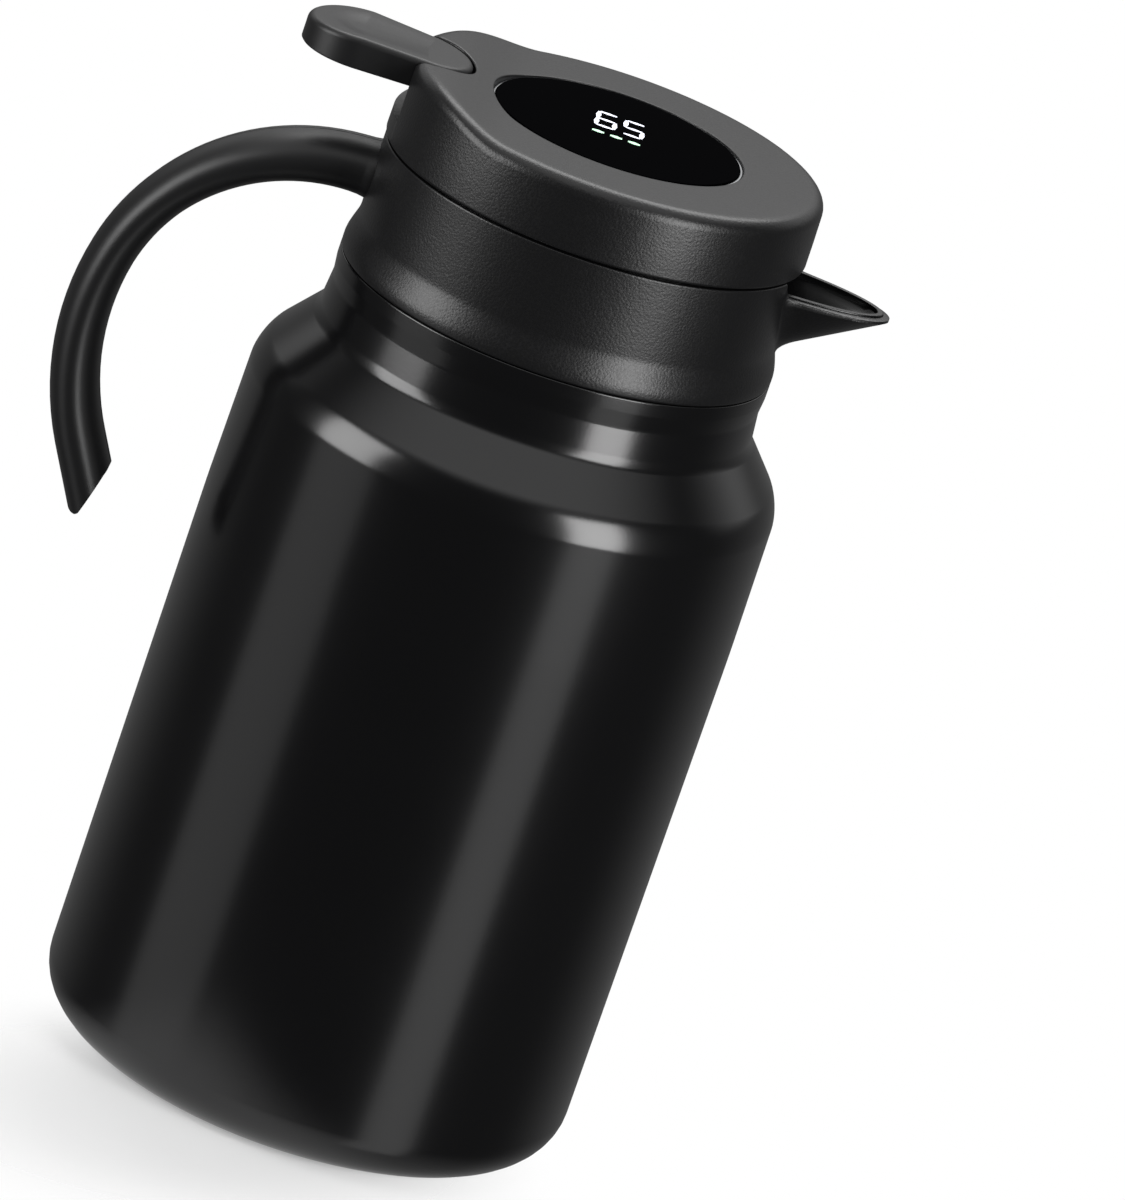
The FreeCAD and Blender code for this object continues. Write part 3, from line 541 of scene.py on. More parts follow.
class JUG_OT_vessel(bpy.types.Operator):
    """Builds the coated steel body"""
    bl_idname = "jug.vessel"
    bl_label = "Steel body"

    def execute(self, context):
        shell = turned("vessel_shell", shell_profile(), around=192, segments=10)
        finished(shell, powder_coated_steel(), "vessel", "black_powder_coat", "outer_shell")
        return {"FINISHED"}


# The spout in millimetres: ovals that grow and lean outwards from the keel, low on the collar, to the mouth.
# Drawn in by a depth, the keel rises by more than the depth, because the underside slopes.
KEEL = 198.0
KEEL_RISE = 1.1766
MOUTH = COLLAR_TOP - 5.0
ROOT_BACK, ROOT_TIP, ROOT_HALF, ROOT_DRAW = 30.0, 45.44, 5.0, 0.9
MOUTH_BACK, MOUTH_HALF = 40.0, 13.0
LIP_ROUND = 0.3

# The collar's wall and the liner's, whose top edges dip above the spout, in millimetres.
COLLAR_IN, COLLAR_OUT = 47.25, 48.8
LINER_IN, LINER_OUT = 46.05, 47.15
LINER_RISE = 0.4
LINER_LIP = COLLAR_TOP - 3.6
DIP_LOW = 200.0
DIP_DEPTH, DIP_HALF, DIP_RUN = 4.0, 15.2, 3.2
SPOUT_BLEND = 4.0


def spout_oval(height, depth):
    """The spout's oval at one height, drawn in by a depth: its rise, centre, half length and half width."""
    keel = KEEL + KEEL_RISE * depth
    share = min(1.0, (height - keel) / (MOUTH - keel))
    back = between(share, ROOT_BACK, MOUTH_BACK)
    tip = between(share, ROOT_TIP, SPOUT_REACH - depth)
    half = between(share, ROOT_HALF - ROOT_DRAW * depth, MOUTH_HALF - depth)
    return share, back, tip - back, half


def spout_form(name, levels):
    """A closed form through the spout's ovals at a list of heights and depths."""
    rings = []
    for height, depth in levels:
        _, back, length, half = spout_oval(height, depth)
        turns = [math.tau * i / 128 for i in range(128)]
        rings.append([(back + length * math.cos(turn), half * math.sin(turn), height) for turn in turns])
    return stacked(name, rings)


def spout_levels(low, rim, depth, way):
    """Levels of one depth up to a rim, where the lip is rounded inwards or, with -1, outwards."""
    lip = [(LIP_ROUND * (1 - math.sin(turn)), way * LIP_ROUND * (1 - math.cos(turn))) for turn in quarter(5)]
    upright = [(z, depth) for z in steps(low, rim - LIP_ROUND, 14)]
    return upright + [(rim - down, depth + inwards) for down, inwards in lip]


def spout_cutter(name, low, rim, depth):
    """Cutter for the inside of the spout, drawn in by a depth, whose mouth opens out at the rim."""
    levels = [(low, depth), *spout_levels(low, rim, depth, -1)]
    return spout_form(name, [*levels, (COLLAR_TOP + 3, depth - LIP_ROUND)])


def spout_edge(angle, height):
    """Distance from the axis to the spout's surface in one direction, or 0 beside it."""
    share, back, length, half = spout_oval(height, 0.0)
    if share <= 0:
        return 0
    across, along = math.sin(angle) / half, math.cos(angle) / length
    a = across ** 2 + along ** 2
    b = -along * back / length
    c = (back / length) ** 2 - 1
    inside = b * b - a * c
    if inside <= 0:
        return 0
    return (-b + math.sqrt(inside)) / a


def gathered(angle):
    """Turns evenly spaced directions into ones that crowd towards the spout."""
    return angle - 0.85 * math.sin(angle)


def rim_dip(angle, radius, height):
    """How far a place on a wall sinks, where its top edge drops above the spout."""
    if math.cos(angle) <= 0:
        return 0
    beside = soft_step(DIP_HALF - abs(radius * math.sin(angle)), 0, DIP_RUN)
    return DIP_DEPTH * beside * soft_step(height, DIP_LOW, COLLAR_TOP - 1.0)


def poured(x, y, z):
    """Place of the collar's wall after its outside has swelled into the spout and its top edge has dipped."""
    radius = math.hypot(x, y)
    angle = gathered(math.atan2(y, x))
    level = z - rim_dip(angle, COLLAR_OUT, z)
    spout = spout_edge(angle, level)
    reach = max(COLLAR_OUT, spout) + smooth_gap(COLLAR_OUT, spout, SPOUT_BLEND)
    share = (radius - COLLAR_IN) / (COLLAR_OUT - COLLAR_IN)
    far = radius - COLLAR_OUT + reach if share > 1 else between(share, COLLAR_IN, reach)
    return far * math.cos(angle), far * math.sin(angle), level


def dipped(x, y, z):
    """Place of the liner's wall after its top edge has dipped above the spout and risen to the cap."""
    dip = rim_dip(math.atan2(y, x), LINER_OUT, z)
    return x, y, z - dip + LINER_RISE * soft_step(z, DIP_LOW, COLLAR_TOP)


class JUG_OT_collar(bpy.types.Operator):
    """Builds the collar and the pouring liner with their spout"""
    bl_idname = "jug.collar"
    bl_label = "Collar and liner"

    def execute(self, context):
        foot = SEAM + 0.05
        foot_out = 50.4
        flared = foot_out - COLLAR_OUT
        flare = [
            (COLLAR_OUT + flared * (1 - soft_step(z, SEAM + 1.5, DIP_LOW)), z, 0)
            for z in steps(SEAM + 1.0, 200.5, 19)
        ]
        collar = turned("collar_shell", [
            (COLLAR_IN, foot, 0), (foot_out, foot, 0.7),
            *flare,
            *[(COLLAR_OUT, z, 0) for z in steps(200.0, COLLAR_TOP, 38)],
            (COLLAR_OUT, COLLAR_TOP, 0.35), (COLLAR_IN, COLLAR_TOP, 0.35),
            *[(COLLAR_IN, z, 0) for z in steps(197.0, COLLAR_TOP, 44)][::-1],
        ], around=288, segments=4)
        shaped(collar, poured)
        combined(collar, spout_cutter("collar_channel", 199.9, COLLAR_TOP - 4.0, 1.55), "DIFFERENCE")
        finished(collar, grained_plastic(), "vessel", "black_shell_plastic", "collar", angle=40)
        liner = turned("pour_liner_shell", [
            (39.2, 188.0, 0.3), (39.2, 201.8, 0), (LINER_OUT, 201.8, 0),
            *[(LINER_OUT, z, 0) for z in steps(201.8, COLLAR_TOP, 14)],
            (LINER_OUT, COLLAR_TOP, 0.3), (LINER_IN, COLLAR_TOP, 0.3),
            *[(LINER_IN, z, 0) for z in steps(203.4, COLLAR_TOP, 14)][::-1],
            (LINER_IN, 203.4, 0), (37.2, 203.4, 0.8), (37.2, 195.0, 0.3), (35.3, 195.0, 0.4),
            (30.6, 188.0, 0.3),
        ], around=288, segments=4)
        shaped(liner, dipped)
        spout = spout_form("liner_spout", spout_levels(199.5, LINER_LIP, 1.65, 1))
        combined(spout, drum(46.6, 195.0, COLLAR_TOP + 2), "DIFFERENCE")
        combined(liner, spout, "UNION")
        combined(liner, spout_cutter("liner_channel", 203.42, LINER_LIP, 3.05), "DIFFERENCE")
        finished(liner, liner_plastic(), "vessel", "black_liner_plastic", "pour_liner", angle=40)
        return {"FINISHED"}


# The handle in millimetres: a level bar out of the collar, a tight bend, a wide one and a straight end.
BAR_LEVEL = 208.3
BAR_START, BEND_START = -47.3, -50.4
UPPER_BEND, LOWER_BEND = 48.8, 62.6
UPPER_TURN, LOWER_TURN = math.radians(77.0), math.radians(118.5)
ROOT_BAR, BEND_BAR, END_BAR, BAR_WIDTH = 6.4, 5.3, 5.7, 8.8

# The tip of the handle is rounded off by flat cuts round a centre, which leave all above a height alone.
TIP = Vector((-88.55, 0, 112.6))
TIP_ROUND = 2.05
TIP_BEGIN, TIP_SWEEP, TIP_CUTS = -16.0, 135.5, 9
TIP_ONLY = 150


def heading(turn):
    """Direction of the handle's bar, across and up, after it has turned down by an angle."""
    return Vector((-math.cos(turn), -math.sin(turn)))


def outward(turn):
    """Direction away from the inside of the handle's bend, square to the bar."""
    return Vector((-math.sin(turn), math.cos(turn)))


def handle_places():
    """Places along the handle's centre line, each with its turn and its half height."""
    step_out = 0.34
    places = [(Vector((BAR_START - step_out * i, BAR_LEVEL)), 0.0, ROOT_BAR) for i in range(9)]
    bend = Vector((BEND_START, BAR_LEVEL))
    for i in range(29):
        turn = UPPER_TURN * i / 28
        place = bend + (outward(turn) - outward(0)) * UPPER_BEND
        places.append((place, turn, ROOT_BAR - (ROOT_BAR - BEND_BAR) * min(1, 1.4 * i / 28)))
    bend = place
    for i in range(1, 15):
        turn = UPPER_TURN + (LOWER_TURN - UPPER_TURN) * i / 14
        place = bend + (outward(turn) - outward(UPPER_TURN)) * LOWER_BEND
        places.append((place, turn, BEND_BAR + (END_BAR - BEND_BAR) * i / 14))
    bend = place
    for i in range(1, 6):
        places.append((bend + heading(LOWER_TURN) * 4.0 * i, LOWER_TURN, END_BAR))
    return places


def handle_bar():
    """The whole oval bar from inside the collar round its two bends and down past its tip."""
    rings = []
    for place, turn, half in handle_places():
        ring = []
        root = soft_step(place.x, -52.4, -48.0) ** 2
        high, wide = half + 0.35 * root, BAR_WIDTH + 0.4 * root
        for i in range(56):
            angle = math.tau * i / 56
            spot = place + outward(turn) * high * math.sin(angle)
            ring.append((spot.x, wide * math.cos(angle), spot.y))
        rings.append(ring)
    return stacked("handle_bar", rings)


class JUG_OT_handle(bpy.types.Operator):
    """Builds the two moulded halves of the handle"""
    bl_idname = "jug.handle"
    bl_label = "Handle"

    def execute(self, context):
        finish = satin_plastic()
        groove = context.scene.jug_sizes.parting_groove * 1000

        def on_parting_line(edge):
            level = all(abs(vertex.co.y) < CLOSE for vertex in edge.verts)
            return level and len(edge.link_faces) == 2 and edge.calc_face_angle() > math.radians(40)

        for side, word in ((1, "left"), (-1, "right")):
            half = handle_bar()
            half.name = f"handle_{word}_half"
            edit(half)
            for i in range(TIP_CUTS):
                turn = math.radians(TIP_BEGIN - TIP_SWEEP * i / TIP_CUTS)
                way = Vector((math.cos(turn), 0, math.sin(turn)))
                pick(half, "FACE", lambda face: face.calc_center_median().z < mm(TIP_ONLY))
                bpy.ops.mesh.bisect(plane_co=(TIP + way * TIP_ROUND) * 0.001, plane_no=way,
                                    clear_outer=True, use_fill=True)
            bpy.ops.mesh.select_all(action="SELECT")
            bpy.ops.mesh.bisect(plane_co=(0, 0, 0), plane_no=(0, -side, 0), clear_outer=True, use_fill=True)
            face_outwards()
            pick(half, "EDGE", on_parting_line)
            bevel(groove, 3)
            bpy.ops.object.mode_set(mode="OBJECT")
            finished(half, finish, "vessel", "black_grip_plastic", f"handle_{word}", angle=38)
        return {"FINISHED"}


# The cap and the lever's plan in millimetres: two rounds on the jug's middle plane, joined by straight sides.
CAP_WAIST = 226.0
CAP_INSIDE = 46.5
THUMB_X, THUMB_ROUND = -60.8, 12.5
PIVOT_END_X, PIVOT_END_ROUND = -45.8, 11.0
POCKET_GAP, POCKET_ROUND = 0.6, 0.6


def ramp_rise(x):
    """How far the cap's top has risen at one place along its length, in millimetres."""
    return (CAP_PEAK - CAP_TOP) * soft_step(-x, 22.0, 42.0)


def lever_plan(grow, height):
    """Points round the lever's plan at one height, grown outwards."""
    lean = math.asin((THUMB_ROUND - PIVOT_END_ROUND) / (PIVOT_END_X - THUMB_X))
    count = 48
    points = []
    for centre, radius, begin, sweep in (
        (THUMB_X, THUMB_ROUND + grow, math.radians(90) - lean, math.pi + 2 * lean),
        (PIVOT_END_X, PIVOT_END_ROUND + grow, math.radians(270) + lean, math.pi - 2 * lean),
    ):
        for i in range(count):
            turn = begin + sweep * i / (count - 1)
            points.append((centre + radius * math.cos(turn), radius * math.sin(turn), height))
    return points


def pocket_cutter():
    """Cutter on the lever's plan whose mouth opens out to leave a rounded edge on the cap's top."""
    edge = CAP_TOP - POCKET_ROUND
    rings = [lever_plan(POCKET_GAP, 230.2)]
    for turn in quarter(6):
        out = POCKET_ROUND * (1 - math.cos(turn))
        rings.append(lever_plan(POCKET_GAP + out, edge + POCKET_ROUND * math.sin(turn)))
    rings.append(lever_plan(POCKET_GAP + POCKET_ROUND, CAP_TOP + 4))
    cutter = stacked("pocket", rings)
    shaped(cutter, lambda x, y, z: (x, y, z + ramp_rise(x) if z > edge - 0.01 else z))
    return cutter


class JUG_OT_cap(bpy.types.Operator):
    """Builds the cap's cover"""
    bl_idname = "jug.cap"
    bl_label = "Cap cover"

    def execute(self, context):
        cap = turned("cap_shell", [
            (45.9, CAP_LOW, 0), (49.1, CAP_LOW, 0.8), (49.0, CAP_WAIST, 0), (48.75, CAP_TOP, 3.4),
            *[(radius, CAP_TOP, 0) for radius in (44.0, 42.0, 40.0, 38.0, 36.0, 34.0, 32.0, 30.6)],
            (29.3, CAP_TOP, 0.3), (29.3, CAP_TOP - 2.6, 0), (45.9, CAP_TOP - 2.6, 0),
        ], around=224, segments=8)
        shaped(cap, lambda x, y, z: (x, y, z + ramp_rise(x) * soft_step(z, CAP_WAIST, CAP_TOP - 3.4)))
        wall = box("rear_wall", (-49.5, -20, CAP_LOW + 3.3), (-44.6, 20, CAP_PEAK - 1))
        curtain = stacked("curtain", [lever_plan(2.4, 221.5), lever_plan(2.4, CAP_TOP - 1.5)])
        for part in (wall, curtain):
            combined(part, drum(CAP_INSIDE, CAP_LOW, CAP_PEAK - 1), "INTERSECT")
            combined(cap, part, "UNION")
        rear = box("rear", (-60, -40, CAP_LOW + 5.5), (-46.8, 40, CAP_PEAK + 5))
        combined(cap, rear, "DIFFERENCE")
        combined(cap, pocket_cutter(), "DIFFERENCE")
        well = stacked("well", [lever_plan(POCKET_GAP, 221.0), lever_plan(POCKET_GAP, 231.0)])
        combined(well, box("front", (-44.6, -20, 220), (-20, 20, 240)), "INTERSECT")
        combined(cap, well, "DIFFERENCE")
        finished(cap, grained_plastic(), "lid", "black_shell_plastic", "cap_cover", angle=35)
        return {"FINISHED"}


# The lever in millimetres: its paddle with a round bowl for the thumb, and the arm that reaches the stem.
PADDLE_LOW, PADDLE_RISE = 232.0, 7.25
PADDLE_BLANK = 11.4
BOWL_RADIUS, BOWL_DEPTH, BOWL_BLEND = 34.0, 1.1, 0.25
PIVOT_X, PIVOT_Z = -38.0, 225.0


def lever_top(x):
    """Height of the lever's upper face along its length, which falls to both ends from a crest."""
    crest = -58.0
    top = PADDLE_LOW + PADDLE_RISE
    if x > crest:
        return top - 1.2 * ((x - crest) / 23.2) ** 1.3
    return top - 1.05 * ((crest - x) / 15.3) ** 1.4


def paddle_place(x, y, z):
    """Place of the paddle's blank after its top has taken its slopes and the bowl has been sunk into it."""
    if z < 5:
        return x, y, PADDLE_LOW + z
    height = lever_top(x) - PADDLE_BLANK + z
    level = math.sqrt(max(0, BOWL_RADIUS ** 2 - (x - THUMB_X) ** 2 - y ** 2))
    bowl = PADDLE_LOW + PADDLE_RISE - BOWL_DEPTH + BOWL_RADIUS - level
    if bowl - height < BOWL_BLEND:
        height = min(height, bowl) - smooth_gap(height, bowl, BOWL_BLEND)
    return x, y, height


class JUG_OT_lever(bpy.types.Operator):
    """Builds the thumb lever with its dished pad, pivot and fork"""
    bl_idname = "jug.lever"
    bl_label = "Thumb lever"

    def execute(self, context):
        edge = 1.4
        rings = [lever_plan(-0.4, 0.0), lever_plan(0.0, 0.4)]
        for turn in quarter(6):
            rings.append(lever_plan(-edge * (1 - math.cos(turn)), PADDLE_BLANK - edge * (1 - math.sin(turn))))
        for inwards in (2.2, 3.2, 4.4, 5.6, 6.8, 8.0, 9.2, 10.4):
            rings.append(lever_plan(-inwards, PADDLE_BLANK))
        lever = stacked("lever_paddle", rings)
        shaped(lever, paddle_place)
        combined(lever, box("leg", (-42.0, -5.5, 213.2), (-35.6, 5.5, 234.0)), "UNION")
        combined(lever, rod("boss", 3.2, 7.4, PIVOT_X, PIVOT_Z), "UNION")
        for name, low, high in (
            ("arm", (-41.0, -4.0, 212.6), (-7.0, 4.0, 215.0)),
            ("fork", (-8.0, -5.5, 212.6), (3.0, 5.5, 215.0)),
            ("pads", (-1.5, -5.5, 214.0), (1.5, 5.5, 216.0)),
        ):
            combined(lever, box(name, low, high), "UNION")
        combined(lever, box("slot", (-4.6, -2.9, 212.0), (4.0, 2.9, 217.0)), "DIFFERENCE")
        combined(lever, rod("bore", 1.55, 8.0, PIVOT_X, PIVOT_Z), "DIFFERENCE")
        finished(lever, satin_plastic(), "lever", "black_grip_plastic", "thumb_lever", angle=35)
        return {"FINISHED"}


class JUG_OT_display(bpy.types.Operator):
    """Builds the display's bright rim, its black window and its lit segments"""
    bl_idname = "jug.display"
    bl_label = "Temperature display"

    def execute(self, context):
        rim = turned("display_rim", [
            (0, CAP_TOP - 11.0, 0), (29.2, CAP_TOP - 11.0, 0.2), (29.2, CAP_TOP - 0.45, 0.15),
            (28.6, CAP_TOP - 0.45, 0.15), (28.6, GLASS_TOP - 1.3, 0), (27.4, GLASS_TOP - 1.3, 0),
            (27.4, CAP_TOP - 9.8, 0), (0, CAP_TOP - 9.8, 0),
        ], around=192)
        finished(rim, bright_metal(), "lid", "bright_ring", "display_housing")
        window = turned("display_window", [
            (0, GLASS_TOP - 1.3, 0), (28.55, GLASS_TOP - 1.3, 0), (28.55, GLASS_TOP, 0.2), (0, GLASS_TOP, 0),
        ], around=192)
        finished(window, black_window(), "lid", "display_glass", "display_glass")
        height = context.scene.jug_sizes.digit_height * 1000
        aside, digits_y, marks_y = 3.2, 4.6, -5.6
        bars = digit(SIX, -aside, digits_y, height) + digit(FIVE, aside, digits_y, height)
        digits = joined(bars, "display_digits")
        finished(digits, lit_segment("white_lit_bars", linear("#eef2ff"), 1.0), "lid", "digit_face")
        marks = joined([segment_bar(x, marks_y, 3.0, 1.7, False) for x in (-4.2, 0.0, 4.2)], "display_marks")
        finished(marks, lit_segment("green_lit_bars", linear("#bfeecb"), 0.9), "lid", "digit_face")
        return {"FINISHED"}


def segment_bar(x, y, length, across, upright):
    """One lit bar with pointed ends, lying just over the display's window."""
    deselect()
    gap, thickness = 0.02, 0.05
    bpy.ops.mesh.primitive_circle_add(vertices=6, radius=mm(across / 2), fill_type="NGON",
                                      location=(0, 0, mm(GLASS_TOP + gap)))
    bar = settled("bar")
    stretch = length / 2 - across / 2
    shaped(bar, lambda px, py, pz: (px + math.copysign(stretch, px) if abs(px) > 0.01 else px, py, pz))
    edit(bar)
    bpy.ops.mesh.extrude_region_move(TRANSFORM_OT_translate={"value": (0, 0, mm(thickness))})
    face_outwards()
    bpy.ops.object.mode_set(mode="OBJECT")
    if upright:
        shaped(bar, lambda px, py, pz: (-py, px, pz))
    shaped(bar, lambda px, py, pz: (px + x, py + y, pz))
    return bar


# Each bar's place in shares of half the digit's width and height, and whether it stands upright.
SEGMENTS = {
    "top": (0, 1, False),
    "middle": (0, 0, False),
    "bottom": (0, -1, False),
    "upper left": (-1, 0.5, True),
    "lower left": (-1, -0.5, True),
    "lower right": (1, -0.5, True),
}
SIX = ("top", "middle", "bottom", "upper left", "lower left", "lower right")
FIVE = ("top", "middle", "bottom", "upper left", "lower right")


def digit(lit, x, y, height):
    """The lit bars of one seven-bar digit."""
    half_width, half_height, across = height * 0.2, height / 2, height * 0.115
    bars = []
    for name in lit:
        side, level, upright = SEGMENTS[name]
        length = (half_height if upright else 2 * half_width) - 0.15 * across
        bars.append(segment_bar(x + side * half_width, y + level * half_height, length, across, upright))
    return bars


def joined(pieces, name):
    """Several pieces as one object."""
    deselect()
    for piece in pieces:
        piece.select_set(True)
    bpy.context.view_layer.objects.active = pieces[0]
    bpy.ops.object.join()
    pieces[0].name = name
    return pieces[0]


class JUG_OT_stopper(bpy.types.Operator):
    """Builds the stopper under the cap with its seal and the infuser's socket"""
    bl_idname = "jug.stopper"
    bl_label = "Stopper"

    def execute(self, context):
        body = turned("stopper_shell", [
            (45.75, 221.4, 0.3), (45.75, 207.7, 0.6), (34.5, 207.7, 0.8), (34.5, 204.9, 0.3),
            (36.2, 204.2, 0.4), (36.2, 203.0, 0.4), (34.5, 202.3, 0.3), (34.5, 199.9, 0.3),
            (36.2, 199.2, 0.4), (36.2, 198.0, 0.4), (34.5, 197.3, 0.3), (34.5, 194.0, 0.4),
            (10.0, 194.0, 0.3), (10.0, 196.0, 0.3), (32.5, 196.0, 0.6), (32.5, 210.0, 0),
            (34.5, 210.0, 0), (34.5, 209.3, 0), (43.9, 209.3, 1.0), (43.9, 221.4, 0.3),
        ])

        def wound(x, y, z):
            lean = soft_step(math.hypot(x, y), 34.6, 35.6) if 196 < z < 206 else 0
            return x, y, z + 1.2 * lean * y / 36
        shaped(body, wound)
        combined(body, box("port", (30.5, -10, 204.3), (38.5, 10, 207.7)), "DIFFERENCE")
        finished(body, liner_plastic(), "lid", "black_liner_plastic", "stopper_body")
        carrier = turned("seal_carrier_ring", [
            (26.2, 187.0, 0.2), (28.4, 187.0, 0.2), (28.4, 194.0, 0.2), (26.2, 194.0, 0.2),
        ])
        finished(carrier, liner_plastic(), "lid", "black_liner_plastic", "seal_carrier")
        seal = turned("stopper_seal_ring", [
            (28.45, 187.0, 0.2), (29.5, 187.0, 0.3), (31.9, 190.5, 0), (32.1, 191.3, 0.2),
            (34.25, 194.0, 0.3), (28.45, 194.0, 0),
        ])
        finished(seal, milky_silicone(), "lid", "white_silicone", "stopper_seal")
        socket = turned("socket_ring", [
            (24.6, 179.4, 0.3), (27.75, 179.4, 0.4), (27.75, 187.0, 0.4), (26.1, 187.0, 0),
            (26.1, 190.0, 0.3), (24.6, 190.0, 0.3),
        ])
        notches = []
        for i in range(20):
            notch = box("notch", (26.55, -1.5, 180.7), (29.0, 1.5, 185.7))
            notch.data.transform(Matrix.Rotation(math.tau * i / 20, 4, "Z"))
            notches.append(notch)
        combined(socket, joined(notches, "notches"), "DIFFERENCE")
        finished(socket, liner_plastic(), "lid", "black_liner_plastic", "basket_socket")
        return {"FINISHED"}


class JUG_OT_infuser(bpy.types.Operator):
    """Builds the steel infuser: threaded ring, perforated basket and base cup"""
    bl_idname = "jug.infuser"
    bl_label = "Infuser"

    def execute(self, context):
        ring = turned("infuser_collar", [
            (24.2, 164.3, 0.2), (26.1, 164.3, 0.5), (26.1, 166.6, 0.4), (26.5, 167.4, 0.5),
            (26.1, 168.2, 0.4), (26.1, 169.6, 0.4), (26.5, 170.4, 0.5), (26.1, 171.2, 0.4),
            (26.1, 173.6, 0.4), (26.5, 174.4, 0.5), (26.1, 175.2, 0.4), (26.1, 179.3, 0.7),
            (24.2, 179.3, 0.3), (24.2, 183.9, 0.3), (23.4, 183.9, 0.3), (23.4, 178.5, 0.4),
            (25.3, 178.5, 0), (25.3, 165.1, 0), (24.2, 165.1, 0),
        ])
        finished(ring, polished_steel(), "infuser", "polished_stainless", "infuser_ring")
        basket = turned("infuser_sleeve", [
            (23.5, 113.6, 0), (24.1, 113.6, 0), (24.1, 165.1, 0.3), (25.5, 165.1, 0),
            (25.5, 165.7, 0), (23.5, 165.7, 0.6),
        ])
        finished(basket, perforated_steel(), "infuser", "brushed_stainless", "infuser_basket")
        cup = turned("infuser_cup", [
            (0, 111.6, 0), (24.8, 111.6, 1.6), (24.8, 117.6, 0.25), (24.2, 117.6, 0.25),
            (24.2, 112.2, 1.2), (0, 112.2, 0),
        ])
        finished(cup, brushed_steel(), "infuser", "brushed_stainless", "infuser_base")
        return {"FINISHED"}


class JUG_OT_flask(bpy.types.Operator):
    """Builds the inner steel flask that holds the drink"""
    bl_idname = "jug.flask"
    bl_label = "Inner flask"

    def execute(self, context):
        flask = turned("flask_wall", [
            (0, 8.0, 0), (57.4, 8.0, 9.0), (57.4, 155.9, 12.0), (42.2, 176.2, 14.0),
            (42.2, 200.4, 0), (44.4, 200.4, 0), (44.4, 201.2, 0.3), (41.4, 201.2, 0.6),
            (41.4, 176.2, 13.2), (56.6, 155.9, 11.2), (56.6, 8.8, 8.2), (0, 8.8, 0),
        ])
        finished(flask, brushed_steel(), "vessel", "brushed_stainless", "inner_flask")
        return {"FINISHED"}


class JUG_OT_finishes(bpy.types.Operator):
    """Gives the pieces that keep their CAD shape their finishes"""
    bl_idname = "jug.finishes"
    bl_label = "Finishes"

    def execute(self, context):
        wanted = {
            powder_coated_steel: ("base_plate",),
            solder_glass: ("vacuum_seal",),
            getter_metal: ("getter_pellet",),
            milky_silicone: ("neck_gasket", "valve_washer"),
            spring_wire: ("handle_screws", "lever_pin", "valve_spring"),
            liner_plastic: ("stopper_deck", "valve_stem", "valve_plug", "cell_holder"),
            green_board: ("display_board",),
            black_window: ("digit_module",),
            nickel_plate: ("coin_cell",),
            polished_steel: ("temperature_probe",),
        }
        for make, names in wanted.items():
            finish = make()
            for name in names:
                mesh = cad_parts[name].data
                mesh.materials.clear()
                mesh.materials.append(finish)
        return {"FINISHED"}


# Stage


# Each softbox: its azimuth in degrees, its distance, height and size in metres, and how bright its face is.
SOFTBOXES = {
    "right_softbox": (46, 0.95, 0.36, (0.4, 0.75), 8.5),
    "left_softbox": (-65, 0.95, 0.4, (0.5, 0.72), 6.0),
    "low_right_softbox": (46, 0.95, -0.4, (0.4, 0.75), 0.9),
    "low_left_softbox": (-65, 0.95, -0.4, (0.6, 0.75), 0.5),
    "top_softbox": (180, 0.5, 1.0, (0.9, 0.5), 4.0),
}


def softbox(name, azimuth, distance, height, size, brightness):
    """A lamp that faces the jug and isn't seen itself. A brightness of 1 is white."""
    deselect()
    turn = math.radians(azimuth)
    spot = Vector((math.sin(turn) * distance, -math.cos(turn) * distance, height))
    bpy.ops.object.light_add(type="AREA", location=spot)
    lamp = bpy.context.active_object
    lamp.name = name
    lamp.data.shape = "RECTANGLE"
    lamp.data.size, lamp.data.size_y = size
    lamp.data.energy = brightness * math.pi * size[0] * size[1]
    aim = Vector((0, 0, 0.12)) - spot
    lamp.rotation_euler = aim.to_track_quat("-Z", "Y").to_euler()
    lamp.visible_camera = False


